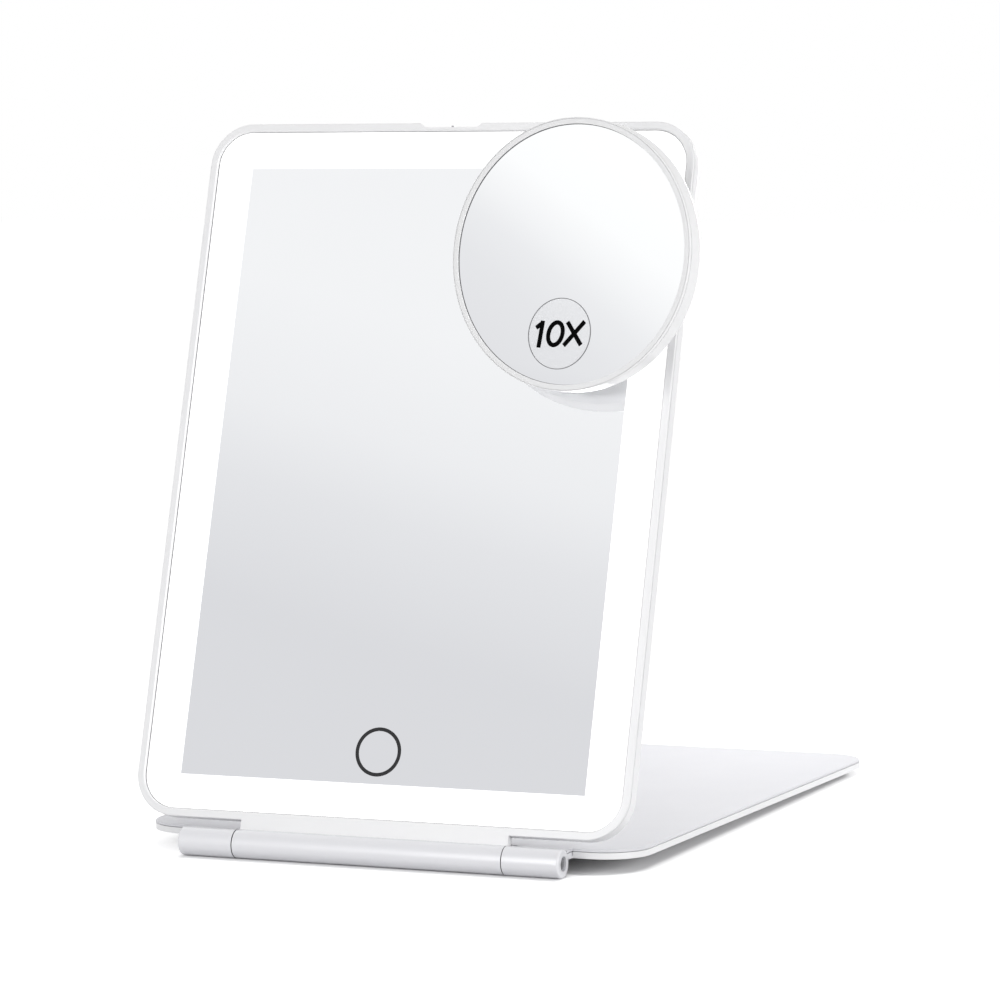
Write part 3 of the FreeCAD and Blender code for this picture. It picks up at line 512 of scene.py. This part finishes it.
def solder_mask(name):
    """Solder mask over tracks: a brick pattern of fine lines, a little raised and lighter."""
    material, tree, surface, place = new_finish(name, mask_roughness)
    laid_flat = shader_node(tree, "Mapping", Vector=place, Rotation=(np.pi / 2 + panel_lean, 0, 0))
    tracks = shader_node(tree, "TexBrick", Vector=laid_flat.outputs["Vector"], Scale=1 / track_pitch,
                         Mortar_Size=track_share).outputs["Fac"]
    two_tones(tree, surface, tracks, board_green, track_green)
    relief(tree, surface, tracks, track_height)
    return material


strip_white = moulded_plastic("strip_white", strip_colour, strip_shade, strip_roughness)
dress(strip_white, "lamp_strip_left", "lamp_strip_right", "lamp_strip_lower", "lamp_strip_upper")
dress(solder_mask("solder_mask"), "control_board", "port_board")
chip_black = moulded_plastic("chip_black", chip_colour, chip_shade, chip_roughness, chip_grain,
                             chip_grain_depth)
dress(chip_black, "board_parts")


# Battery and its leads: a flat pouch cell on the shell's rear wall, wired to the control board.
# Aluminium-laminate pouch with a satin skin; the leads are tinned copper in soft vinyl.
pouch_colour = (0.72, 0.73, 0.75)
pouch_shade = (0.62, 0.63, 0.66)
pouch_roughness = 0.38
lead_colour = (0.55, 0.05, 0.04)
lead_shade = (0.45, 0.04, 0.03)
lead_roughness = 0.5
pouch = bare_metal("pouch", pouch_colour, pouch_shade, pouch_roughness, not_drawn)
dress(pouch, "battery")
lead_red = moulded_plastic("lead_red", lead_colour, lead_shade, lead_roughness)
dress(lead_red, "battery_leads")


# Light tray, lamps and opal frame: the tray throws the lamps' light forward through the frame.
# The tray is white ABS, the lamps have pale yellow phosphor, and the frame is milky acrylic.
phosphor_colour = (0.85, 0.75, 0.35)
phosphor_shade = (0.80, 0.68, 0.28)
phosphor_roughness = 0.4
phosphor_grain = 0.1 * mm
phosphor_grain_depth = 0.01 * mm
opal_colour = (0.88, 0.88, 0.88)
opal_shade = (0.85, 0.85, 0.86)
opal_roughness = 0.5
phosphor = moulded_plastic("phosphor", phosphor_colour, phosphor_shade, phosphor_roughness, phosphor_grain,
                           phosphor_grain_depth)
dress(phosphor, "lamps")
dress(casing_white, "light_tray")
opal = moulded_plastic("opal", opal_colour, opal_shade, opal_roughness)
dress(opal, "diffuser_frame")


# Behind the silvering: foam pads on the backs of both mirrors, and the touch key's copper electrode.
# Closed-cell foam; the big pad sticks the mirror to the tray and is cut away round the electrode.
foam_colour = (0.20, 0.20, 0.21)
foam_shade = (0.15, 0.15, 0.16)
foam_roughness = 0.9
foam_cell = 0.5 * mm
foam_cell_depth = 0.06 * mm
copper_colour = (0.80, 0.42, 0.26)
copper_shade = (0.70, 0.34, 0.20)
copper_roughness = 0.3
bonding_foam = moulded_plastic("bonding_foam", foam_colour, foam_shade, foam_roughness, foam_cell,
                               foam_cell_depth)
dress(bonding_foam, "mirror_pad", "magnifier_pad")
copper_foil = bare_metal("copper_foil", copper_colour, copper_shade, copper_roughness, not_drawn)
dress(copper_foil, "touch_electrode")


# Mirror pane: one sheet of glass, silvered in the middle, with a frosted border that the lamps light.
# Cut and ground glass with a seamed edge, painted dark, and bonded into the front frame; the dark edge also
# serves as painted shade in the gap round the glass.
pane_corner = 11.15 * mm
pane_seam = 0.08 * mm
pane_crease = 20
silver_corner = 0.05 * mm
silver_tint = (0.96, 0.965, 0.975)
silver_patch = 50 * mm
silver_cloud = 0.995
frost_colour = (0.60, 0.60, 0.60)
frost_shade = (0.56, 0.56, 0.56)
frost_roughness = 0.25
frost_grain = 0.3 * mm
border_glow = 0.75
border_glow_high = 0.81
border_glow_patch = 9 * mm
white = (1.0, 1.0, 1.0, 1.0)
edge_paint_and_gap_shade_colour = (0.05, 0.05, 0.055)
edge_paint_and_gap_shade_variant = (0.04, 0.04, 0.045)
edge_paint_and_gap_shade_roughness = 0.6
silver_index = 1
edge_paint_and_gap_shade_index = 2
corner_steps = 20


def panel_slab(node):
    """A node that lies square on the panel: its half width, front, rear, low and high.

    Its leaning box is front or rear * cos and low or high * sin added up, which is solved for them.
    """
    low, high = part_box(node)
    lean_cos, lean_sin = np.cos(panel_lean), np.sin(panel_lean)
    turns = np.array([[lean_cos, 0, lean_sin, 0], [0, lean_cos, 0, lean_sin],
                      [0, -lean_sin, lean_cos, 0], [-lean_sin, 0, 0, lean_cos]])
    reach = np.array([low[1], high[1], low[2] - hinge_centre[2], high[2] - hinge_centre[2]])
    return high[0], *np.linalg.solve(turns, reach)


def rounded_outline(half, low, high, corner):
    """A rounded rectangle: four quarter circles in turn, each its centre + corner * (cos a, sin a)."""
    quarter = np.linspace(0, np.pi / 2, corner_steps)
    turns = np.arange(4)[:, None] * np.pi / 2 + quarter
    middle_x = np.array([1, -1, -1, 1])[:, None] * (half - corner)
    middle_z = np.array([high - corner, high - corner, low + corner, low + corner])[:, None]
    outline = np.stack([middle_x + corner * np.cos(turns), middle_z + corner * np.sin(turns)], axis=-1)
    return outline.reshape(-1, 2)


def silvering(name):
    """Silver behind glass: a clear mirror with the faintest clouding."""
    material, tree, surface, place = new_finish(name, roughness=0.0, metallic=1.0)
    clouded = [tone * silver_cloud for tone in silver_tint]
    two_tones(tree, surface, cloud(tree, place, silver_patch), silver_tint, clouded)
    return material


def lit_frosting(name):
    """Frosted glass lit from behind: even white light, a little uneven from lamp to lamp."""
    material, tree, surface, place = new_finish(name, frost_roughness)
    two_tones(tree, surface, cloud(tree, place, frost_grain), frost_colour, frost_shade)
    surface.inputs["Emission Color"].default_value = white
    glow = cloud(tree, place, border_glow_patch, border_glow, border_glow_high)
    tree.links.new(glow, surface.inputs["Emission Strength"])
    return material


pane_half, pane_front, pane_rear, pane_low, pane_high = panel_slab("mirror_glass")
silver_half, *_, silver_low, silver_high = panel_slab("silver_coating")
pane_rings = []
for inset, depth in ((0.0, pane_rear), (0.0, pane_front + pane_seam), (pane_seam, pane_front)):
    ring = rounded_outline(pane_half - inset, pane_low + inset, pane_high - inset, pane_corner - inset)
    pane_rings.append(on_panel(ring[:, 0], depth, ring[:, 1]))
silver_edge = rounded_outline(silver_half, silver_low, silver_high, silver_corner)
pane_rings.append(on_panel(silver_edge[:, 0], pane_front, silver_edge[:, 1]))
mirror_silver = silvering("mirror_silver")
# The glass's dark edge is partly paint and partly painted shade, which darkens the gap between glass and
# frame.
edge_paint_and_gap_shade = moulded_plastic("edge_paint_and_gap_shade", edge_paint_and_gap_shade_colour, edge_paint_and_gap_shade_variant, edge_paint_and_gap_shade_roughness)
pane = add_piece("pane", *skin(np.stack(pane_rings)), lit_frosting("lit_frosting"), "mirror_panel", "pane",
                 ["mirror_glass"], pane_crease)
pane.data.materials.append(mirror_silver)
pane.data.materials.append(edge_paint_and_gap_shade)
pane_finish = np.zeros(len(pane.data.polygons), dtype=np.int32)
pane_finish[:len(pane_rings[0])] = edge_paint_and_gap_shade_index
pane_finish[-1] = silver_index
pane.data.polygons.foreach_set("material_index", pane_finish)
dress(mirror_silver, "silver_coating")


# Touch key: a ring printed on the glass over the electrode. It has no travel; a finger on it is enough.
# Screen-printed black enamel, fired on, with a slightly uneven face.
enamel_colour = (0.014, 0.014, 0.016)
enamel_shade = (0.022, 0.022, 0.024)
enamel_roughness = 0.4
enamel_grain = 0.1 * mm
enamel_grain_depth = 0.003 * mm
enamel_specular = 0.15
enamel = moulded_plastic("enamel", enamel_colour, enamel_shade, enamel_roughness, enamel_grain,
                         enamel_grain_depth)
set_value(enamel, "Specular IOR Level", enamel_specular)
dress(enamel, "touch_ring")


# Suction cup: holds the magnifier to the glass, with a tab at its lower edge to peel it off by.
# Soft clear vinyl, moulded in one piece and slightly milky where it is thick.
ball_centre = np.array(joints["magnifier_turn"]["pos_m"])
glass_point = ball_centre + (pane_front - np.dot(ball_centre - hinge_centre, panel_back)) * panel_back
cup_radius = 15.0 * mm
cup_core = 0.3 * mm
cup_hollow = 1.2 * mm
cup_hollow_rows = 12
cup_lip = 1.5 * mm
cup_gap = 0.05 * mm
cup_edge = 0.6 * mm
cup_shoulder = 1.0 * mm
cup_shoulder_height = 1.5 * mm
cup_shoulder_inset = 0.5 * mm
cup_round = 0.5 * mm
cup_steps = 240
cap_radius = 11.0 * mm
cap_low = 2.2 * mm
cap_high = 4.8 * mm
tab_length = 6.0 * mm
tab_half_angle = 0.19
tab_squareness = 6
lip_margin = 1.05
vinyl_colour = (0.84, 0.87, 0.90)
vinyl_shade = (0.76, 0.80, 0.84)
vinyl_roughness = 0.25
vinyl_roughness_low = 0.18
vinyl_roughness_high = 0.36
vinyl_clear = 0.55
vinyl_index = 1.45
vinyl_patch = 6 * mm
vinyl_smear_patch = 4 * mm
vinyl_grain = 0.6 * mm
vinyl_grain_depth = 0.01 * mm
hollow_radius = np.linspace(cup_core, cup_radius - cup_lip, cup_hollow_rows)
hollow_height = cup_gap + cup_hollow * (1 - (hollow_radius / (cup_radius - cup_lip)) ** 2)
cup_crown = cap_low - cup_gap
cup_top = eased([(cup_radius, cup_gap), (cup_radius + cup_gap, cup_edge / 2), (cup_radius, cup_edge),
                 (cap_radius + cup_shoulder, cup_shoulder_height),
                 (cap_radius - cup_shoulder_inset, cup_crown), (cup_core, cup_crown)], cup_round)
cup_profile = np.vstack([np.stack([hollow_radius, hollow_height], axis=1), cup_top])
cup_angle = np.linspace(0, 2 * np.pi, cup_steps, endpoint=False)
from_lowest = np.angle(np.exp(1j * (cup_angle + np.pi / 2)))
tab_reach = tab_length * np.exp(-(from_lowest / tab_half_angle) ** tab_squareness)
lip_share = np.clip((cup_profile[:, 0] - cup_radius + cup_lip) / cup_lip, 0, 1)[:, None]
lip_share = np.where(cup_profile[:, 1:] <= cup_edge * lip_margin, lip_share, 0.0)
cup_reach = cup_profile[:, :1] + lip_share * tab_reach
cup_grid = (glass_point - cup_profile[:, 1][:, None, None] * panel_back
            + (cup_reach * np.cos(cup_angle))[:, :, None] * across
            + (cup_reach * np.sin(cup_angle))[:, :, None] * panel_up)


def soft_vinyl(name):
    """Soft clear vinyl: lets light through, milky in patches, with a faint moulded skin."""
    material, tree, surface, place = new_finish(name, vinyl_roughness)
    two_tones(tree, surface, cloud(tree, place, vinyl_patch), vinyl_colour, vinyl_shade)
    set_value(material, "Transmission Weight", vinyl_clear)
    set_value(material, "IOR", vinyl_index)
    haze = cloud(tree, place, vinyl_smear_patch, vinyl_roughness_low, vinyl_roughness_high)
    tree.links.new(haze, surface.inputs["Roughness"])
    relief(tree, surface, cloud(tree, place, vinyl_grain), vinyl_grain_depth)
    return material


add_piece("cup", *skin(cup_grid), soft_vinyl("soft_vinyl"), "magnifier_mount", "soft_rubber", ["suction_cup"])


# Cup cap and ball stud: the cap spreads the pull over the cup and traps the foot of the ball's stud.
# The cap is white ABS with a rounded rim; the stud is turned and polished steel.
magnifier_colour = (0.875, 0.875, 0.88)
magnifier_shade = (0.86, 0.86, 0.865)
magnifier_roughness = 0.25
magnifier_grain = 0.4 * mm
magnifier_grain_depth = 0.0005 * mm
stud_colour = (0.66, 0.66, 0.68)
stud_shade = (0.58, 0.58, 0.60)
stud_roughness = 0.12
neck_hole = 2.05 * mm
cap_round = 0.7 * mm
cap_profile = eased([(neck_hole, cap_low), (cap_radius, cap_low),
                     (cap_radius, cap_high), (neck_hole, cap_high)], cap_round, closed=True)
magnifier_white = moulded_plastic("magnifier_white", magnifier_colour, magnifier_shade, magnifier_roughness,
                                  magnifier_grain, magnifier_grain_depth)
add_piece("cap", *skin(turned(cap_profile, glass_point, -panel_back), closed=True), magnifier_white,
          "magnifier_mount", "magnifier_white", ["cup_cap"])
polished_steel = bare_metal("polished_steel", stud_colour, stud_shade, stud_roughness, not_drawn)
dress(polished_steel, "ball_stud")


# Swivel bush and socket: a bush lets the magnifier turn on the ball, and a ring closes the socket.
# The bush is grey acetal, slippery and waxy; the back and the ring are white ABS.
acetal_colour = (0.50, 0.50, 0.52)
acetal_shade = (0.44, 0.44, 0.46)
acetal_roughness = 0.4
acetal_grain = 0.2 * mm
acetal_grain_depth = 0.003 * mm
acetal = moulded_plastic("acetal", acetal_colour, acetal_shade, acetal_roughness, acetal_grain,
                         acetal_grain_depth)
dress(acetal, "swivel_bush")
dress(magnifier_white, "magnifier_back", "socket_ring")


# Magnifier rim: a flat ring in front with a fine groove near its edge, and a skirt inside the back.
# Glossy white ABS with eased edges, turned about the magnifier's own axis and bonded to the back.
magnifier_turn = np.radians(-8.59)
magnifier_tip = np.radians(9.25)
rim_radius = 43.0 * mm
rim_bevel = 0.12 * mm
rim_ease = 0.05 * mm
rim_crease = 30
rim_steps = 192
pocket_radius = 41.0 * mm
groove_far = 42.73 * mm
groove_near = 42.58 * mm
groove_floor = -11.1 * mm
skirt_radius = 42.15 * mm
ledge_radius = 38.8 * mm
rim_front = -11.5 * mm
skirt_end = -10.35 * mm
rim_rear = -8.3 * mm
ledge_front = -9.55 * mm
turn_x, turn_y = np.cos(magnifier_turn), np.sin(magnifier_turn)
magnifier_across = turn_x * across + turn_y * panel_back
swung_back = turn_x * panel_back - turn_y * across
magnifier_back = np.cos(magnifier_tip) * swung_back + np.sin(magnifier_tip) * panel_up
magnifier_up = np.cos(magnifier_tip) * panel_up - np.sin(magnifier_tip) * swung_back
rim_profile = eased([(pocket_radius, rim_front), (groove_near, rim_front), (groove_near, groove_floor),
                     (groove_far, groove_floor), (groove_far, rim_front), (rim_radius - rim_bevel, rim_front),
                     (rim_radius, rim_front + rim_bevel), (rim_radius, skirt_end), (skirt_radius, skirt_end),
                     (skirt_radius, rim_rear), (ledge_radius, rim_rear), (ledge_radius, ledge_front),
                     (pocket_radius, ledge_front)], rim_ease, closed=True)
rim_grid = turned(rim_profile, ball_centre, magnifier_back, rim_steps)
add_piece("rim", *skin(rim_grid, closed=True), magnifier_white, "magnifier", "magnifier_white",
          ["magnifier_rim"], rim_crease)


# Magnifier mirror: a dished disc that lies a little low in its ring, behind a dark bead of painted shade.
# Slumped and silvered glass on the ring's ledge; the bead fills the gap with painted shade, widest at the
# upper left.
dish_deepest = -8.95 * mm
dish_radius = 417.57 * mm
dish_core = 0.2 * mm
dish_edge = 40.83 * mm
dish_thickness = 1.1 * mm
dish_rows = 48
dish_rear_stride = 4
dish_crease = 20
dish_shift_across = 0.12 * mm
dish_shift_up = -0.07 * mm
bead_edge = 40.98 * mm
bead_rise = 0.2 * mm
painted_gap_shade_colour = (0.13, 0.13, 0.135)
painted_gap_shade_variant = (0.10, 0.10, 0.105)
painted_gap_shade_roughness = 0.6
painted_gap_shade_index = 1
face_middle_index = -2


def dish_depth(radius):
    """Depth of the dished mirror's face: a sphere's, deepest in the middle."""
    return dish_deepest - dish_radius + np.sqrt(dish_radius ** 2 - radius ** 2)


face_radius = np.linspace(dish_core, dish_edge, dish_rows)
face_profile = np.stack([face_radius, dish_depth(face_radius)], axis=1)
bead_top = dish_depth(dish_edge) - bead_rise
bead_profile = np.array([(bead_edge, bead_top), (bead_edge, dish_depth(dish_edge) + dish_thickness)])
rear_profile = face_profile[::-dish_rear_stride] + [0.0, dish_thickness]
dish_profile = np.vstack([face_profile, bead_profile, rear_profile])
dish_grid = turned(dish_profile, ball_centre, magnifier_back, rim_steps)
dish_grid[:dish_rows] += dish_shift_across * magnifier_across + dish_shift_up * magnifier_up
dish = add_piece("dish", *skin(dish_grid), silvering("dish_silver"), "magnifier", "silver",
                 ["magnifier_mirror"], dish_crease)
# Painted shade: the dark bead round the dish darkens the gap between the mirror and its ring.
dish.data.materials.append(moulded_plastic("painted_gap_shade", painted_gap_shade_colour, painted_gap_shade_variant, painted_gap_shade_roughness))
dish_finish = np.zeros(len(dish.data.polygons), dtype=np.int32)
dish_finish[rim_steps * (dish_rows - 1):] = painted_gap_shade_index
dish_finish[face_middle_index] = 0
dish.data.polygons.foreach_set("material_index", dish_finish)


# Mark on the magnifier: a round clear film with a fine border line and the power of the mirror on it.
# Satin film with black print, stuck to the dished glass, which it follows.
mark_across = -4.0 * mm
mark_up = -24.7 * mm
film_colour = (0.80, 0.80, 0.81)
film_shade = (0.78, 0.78, 0.80)
film_roughness = 0.35
film_grain = 0.2 * mm
film_grain_depth = 0.002 * mm
film_haze = 0.03
film_radius = 11.3 * mm
film_core = 0.3 * mm
film_under = 0.005 * mm
film_thickness = 0.06 * mm
film_round = 0.02 * mm
line_colour = (0.20, 0.20, 0.21)
line_shade = (0.16, 0.16, 0.17)
line_roughness = 0.4
line_width = 0.24 * mm
line_height = 0.05 * mm
print_colour = (0.001, 0.001, 0.0012)
print_shade = (0.002, 0.002, 0.0022)
print_roughness = 0.6
print_specular = 0.02
number_height = 8.5 * mm
number_slant = 0.14
stroke_half = 0.70 * mm
stroke_steps = 6
one_x = -6.8 * mm
one_flag_reach = 2.0 * mm
one_flag_drop = 1.5 * mm
nought_x = -1.5 * mm
nought_width = 6.5 * mm
nought_steps = 48
times_x = 5.3 * mm
times_up = -0.1 * mm
times_half_width = 3.1 * mm
times_half_height = 3.7 * mm


def on_dish(x, up, proud):
    """A place on the dished mirror: the sphere's depth there, less the height that it stands proud."""
    x, up, proud = np.broadcast_arrays(x + mark_across, up + mark_up, proud)
    depth = dish_depth(np.hypot(x, up)) - proud
    return (ball_centre + x[..., None] * magnifier_across + depth[..., None] * magnifier_back
            + up[..., None] * magnifier_up)


def disc_on_dish(profile, closed):
    """A profile of (radius, height) carried round the mark's centre, on the dished glass."""
    angle = np.linspace(0, 2 * np.pi, round_steps, endpoint=False)
    radius, height = profile[:, :1], profile[:, 1:]
    return skin(on_dish(radius * np.cos(angle), radius * np.sin(angle), height), closed)


def stroke(path, closed=False):
    """One printed stroke: a flat band carried along a slanted path, half a width to each side of it."""
    path = np.array(path) @ np.array([[1.0, 0.0], [number_slant, 1.0]])
    if closed:
        along = np.roll(path, -1, axis=0) - np.roll(path, 1, axis=0)
    else:
        along = np.gradient(path, axis=0)
    along = along / np.linalg.norm(along, axis=1, keepdims=True)
    normal = np.stack([-along[:, 1], along[:, 0]], axis=1) * stroke_half
    sides = np.array([-1, -1, 1, 1])[:, None]
    heights = np.array([0.0, line_height, line_height, 0.0]) + film_thickness
    band = path[:, None] + sides * normal[:, None]
    return skin(on_dish(band[:, :, 0], band[:, :, 1], heights), closed)


def straight_stroke(start, end):
    """A stroke along evenly spaced points from one place to another."""
    return stroke(np.linspace(start, end, stroke_steps))


film_profile = eased([(film_core, film_under), (film_radius, film_under),
                      (film_radius, film_thickness), (film_core, film_thickness)], film_round)
film = moulded_plastic("film", film_colour, film_shade, film_roughness, film_grain, film_grain_depth)
set_value(film, "Alpha", film_haze)
add_piece("mark_film", *disc_on_dish(film_profile, False), film, "magnifier", "magnifier_white")
line_top = film_thickness + line_height
line_profile = np.array([(film_radius - line_width, 0.0), (film_radius, 0.0),
                         (film_radius, line_top), (film_radius - line_width, line_top)])
print_grey = moulded_plastic("print_grey", line_colour, line_shade, line_roughness)
add_piece("mark_line", *disc_on_dish(line_profile, True), print_grey, "magnifier", "black_print")
half_height = number_height / 2 - stroke_half
one_end = half_height + stroke_half
nought_angle = np.linspace(0, 2 * np.pi, nought_steps, endpoint=False)
nought = np.stack([nought_x + (nought_width / 2 - stroke_half) * np.cos(nought_angle),
                   half_height * np.sin(nought_angle)], axis=1)
times_left, times_right = times_x - times_half_width, times_x + times_half_width
times_low, times_high = times_up - times_half_height, times_up + times_half_height
strokes = [
    straight_stroke((one_x, -one_end), (one_x, one_end)),
    straight_stroke((one_x - one_flag_reach, half_height - one_flag_drop), (one_x, half_height)),
    stroke(nought, closed=True),
    straight_stroke((times_left, times_low), (times_right, times_high)),
    straight_stroke((times_left, times_high), (times_right, times_low)),
]
print_black = moulded_plastic("print_black", print_colour, print_shade, print_roughness)
set_value(print_black, "Specular IOR Level", print_specular)
add_piece("mark_number", *together(strokes), print_black, "magnifier", "black_print")


# Table: a plain white sheet that runs out of sight and keeps the object's shadow under plate and barrel.
# Seen by the camera or in a mirror it is topped up to white, but not inside rounded outlines under plate and
# barrel, which gives the shadow there a painted edge; light that bounces off it is its own.
floor_reach = 6.0
floor_drop = 0.02 * mm
floor_roughness = 0.9
floor_shown = (0.97, 0.97, 0.975, 1.0)
floor_bounced = (0.72, 0.72, 0.73, 1.0)
floor_top_up = 0.48
shadow_left = -20 * mm
shadow_right = 83.6 * mm
shadow_front = 7 * mm
shadow_rear = 236 * mm
shadow_corner = 18 * mm
shadow_ease = 1.8 * mm
barrel_shadow_half = 6 * mm
floor_corners = [(-floor_reach, -floor_reach), (floor_reach, -floor_reach),
                 (floor_reach, floor_reach), (-floor_reach, floor_reach)]
floor_mesh = bpy.data.meshes.new("table")
floor_mesh.from_pydata([(x, y, -floor_drop) for x, y in floor_corners], [], [(0, 1, 2, 3)])
floor = bpy.data.objects.new("table", floor_mesh)
bpy.context.scene.collection.objects.link(floor)
floor_paper, floor_tree, floor_surface, floor_place = new_finish("table_white", floor_roughness)
set_value(floor_paper, "Specular IOR Level", 0.0)
set_value(floor_paper, "Emission Color", white)


def seen_directly(tree):
    """1 for rays from the camera, off a gloss or through glass, and 0 for light that bounces about."""
    path = shader_node(tree, "LightPath").outputs
    shown = worked_out(tree, "MAXIMUM", path["Is Camera Ray"], path["Is Glossy Ray"])
    return worked_out(tree, "MAXIMUM", shown, path["Is Transmission Ray"])


def place_worked_out(operation, *feeds):
    """A place worked out in the table's shader."""
    return shader_node(floor_tree, "VectorMath", {"operation": operation}, feeds).outputs["Vector"]


def past_outline(left, right, front, rear, corner):
    """How far the table lies outside a rectangle with round corners, and less than 0 inside.

    It is the length of what is left of |place - middle| past the straight sides, less the corner's radius.
    """
    middle = ((left + right) / 2, (front + rear) / 2, 0.0)
    straight_half = ((right - left) / 2 - corner, (rear - front) / 2 - corner, floor_reach)
    aside = place_worked_out("ABSOLUTE", place_worked_out("SUBTRACT", floor_place, middle))
    past = place_worked_out("SUBTRACT", aside, straight_half)
    outside = place_worked_out("MAXIMUM", past, (0.0, 0.0, 0.0))
    away = shader_node(floor_tree, "VectorMath", {"operation": "LENGTH"}, [outside]).outputs["Value"]
    return worked_out(floor_tree, "SUBTRACT", away, corner)


shown = seen_directly(floor_tree)
floor_tone = blended(floor_tree, shown, floor_bounced, floor_shown)
floor_tree.links.new(floor_tone, floor_surface.inputs["Base Color"])
# Painted shadow edge: the top-up is held back inside these outlines, so the shadow under plate and barrel
# ends at a drawn line.
past_plate = past_outline(shadow_left, shadow_right, shadow_front, shadow_rear, shadow_corner)
past_barrel = past_outline(-barrel_end, barrel_end, -barrel_shadow_half, barrel_shadow_half, shadow_ease)
past_both = worked_out(floor_tree, "MINIMUM", past_plate, past_barrel)
top_up = spread(floor_tree, past_both, -shadow_ease, shadow_ease, 0.0, floor_top_up)
floor_glow = worked_out(floor_tree, "MULTIPLY", shown, top_up)
floor_tree.links.new(floor_glow, floor_surface.inputs["Emission Strength"])
floor_mesh.materials.append(floor_paper)


# Studio: a white room that lights the object softly from all round, and three lamps with diffusers.
# The mirrors see a bright wall low on the left, a dimmer band above it, and a bright ceiling.
room_light = 0.67
room_lean = 0.15
room_drop = 0.28
room_red = 0.995
room_blue = 0.1
ceiling_tilt = 0.05
ceiling_offset = 0.0
ceiling_tones = [(0.385, 0.735), (0.410, 0.81), (0.425, 0.885), (0.450, 0.938)]
wall_tilt = 0.6
wall_offset = 0.5
wall_tones = [(0.19, 1.05), (0.26, 1.03), (0.31, 0.95), (0.35, 0.875), (0.40, 0.83), (0.50, 0.79)]
wall_ends_low = 0.31
wall_ends_high = 0.37
rear_starts = -0.1
rear_ends = 0.3
lamp_target = np.array([0.0, 60 * mm, 80 * mm])
world = bpy.data.worlds.new("studio")
world.use_nodes = True
bpy.context.scene.world = world
sky = world.node_tree
direction = shader_node(sky, "TexCoord").outputs["Generated"]
split = shader_node(sky, "SeparateXYZ", Vector=direction).outputs


def tone_band(tilt, offset, tones):
    """Room tones by height: the direction's Z plus a share of its X, read off a run of greys."""
    height = worked_out(sky, "MULTIPLY_ADD", split["X"], tilt, split["Z"])
    band = shader_node(sky, "ValToRGB", Fac=worked_out(sky, "ADD", height, offset))
    stops = band.color_ramp.elements
    for place, tone in tones[2:]:
        stops.new(place)
    for stop, (place, tone) in zip(stops, tones):
        stop.position = place
        stop.color = (tone * room_red, tone, tone * (1 + room_blue * (1 - tone)), 1)
    return band.outputs["Color"]


def facing(place, toward, back, roll=0.0):
    """A placing that looks down its own -Z: columns are right, up, back and the place itself."""
    right = np.cross(toward, back)
    right = right / np.linalg.norm(right)
    up = np.cross(back, right)
    turned_right = np.cos(roll) * right - np.sin(roll) * up
    turned_up = np.sin(roll) * right + np.cos(roll) * up
    placing = np.eye(4)
    placing[:3] = np.stack([turned_right, turned_up, back, place], axis=1)
    return placing.tolist()


def bearing(azimuth, elevation):
    """A direction so many degrees to the right of the front, and up: (sin a cos e, -cos a cos e, sin e)."""
    turn, rise = np.radians(azimuth), np.radians(elevation)
    return np.array([np.sin(turn) * np.cos(rise), -np.cos(turn) * np.cos(rise), np.sin(rise)])


def add_lamp(name, azimuth, elevation, distance, size, power):
    """A lamp with an oval diffuser, at a bearing and a distance from the object, which it faces."""
    back = bearing(azimuth, elevation)
    light = bpy.data.lights.new(name, "AREA")
    light.shape = "ELLIPSE"
    light.size, light.size_y = size
    light.energy = power
    lamp = bpy.data.objects.new(name, light)
    lamp.visible_camera = False
    bpy.context.scene.collection.objects.link(lamp)
    lamp.matrix_world = Matrix(facing(lamp_target + distance * back, upright, back))


wall = tone_band(wall_tilt, wall_offset, wall_tones)
ceiling = tone_band(ceiling_tilt, ceiling_offset, ceiling_tones)
above = shader_node(sky, "MapRange", Value=split["Z"], From_Min=wall_ends_low, From_Max=wall_ends_high)
behind = shader_node(sky, "MapRange", Value=split["Y"], From_Min=rear_starts, From_Max=rear_ends)
front = blended(sky, above.outputs["Result"], wall, ceiling)
room = blended(sky, behind.outputs["Result"], front, white)
leaning = worked_out(sky, "MULTIPLY_ADD", split["X"], -room_light * room_lean, room_light)
soft = worked_out(sky, "MULTIPLY_ADD", split["Z"], -room_light * room_drop, leaning)
camera_ray = shader_node(sky, "LightPath").outputs["Is Camera Ray"]
backdrop = blended(sky, camera_ray, blended(sky, seen_directly(sky), soft, room), white)
sky.links.new(backdrop, sky.nodes["Background"].inputs["Color"])
add_lamp("rear_lamp", azimuth=169.5, elevation=23.6, distance=0.30, size=(0.1, 0.1), power=0.38)
add_lamp("right_lamp", azimuth=74.0, elevation=14.0, distance=1.8, size=(0.8, 0.8), power=13.0)
add_lamp("front_lamp", azimuth=-16.5, elevation=17.0, distance=1.8, size=(0.24, 1.5), power=9.0)


# Camera: a long lens, low and to the right of the mirror, turned a touch about its own axis.
# It looks at a point above the table, to the right of the middle.
view_azimuth = 22.998
view_elevation = 5.339
view_roll = np.radians(0.617)
view_target = np.array([45.576, 0.0, 116.663]) * mm
view_distance = 1375.0 * mm
lens_length = 161.04
sensor_width = 36.0
nearest_seen = 0.01
farthest_seen = 50.0
camera_data = bpy.data.cameras.new("camera")
camera_data.lens = lens_length
camera_data.sensor_width = sensor_width
camera_data.clip_start = nearest_seen
camera_data.clip_end = farthest_seen
camera = bpy.data.objects.new("camera", camera_data)
bpy.context.scene.collection.objects.link(camera)
camera_back = bearing(view_azimuth, view_elevation)
camera_place = view_target + view_distance * camera_back
camera.matrix_world = Matrix(facing(camera_place, upright, camera_back, view_roll))
bpy.context.scene.camera = camera
bpy.context.scene.view_settings.view_transform = "Standard"
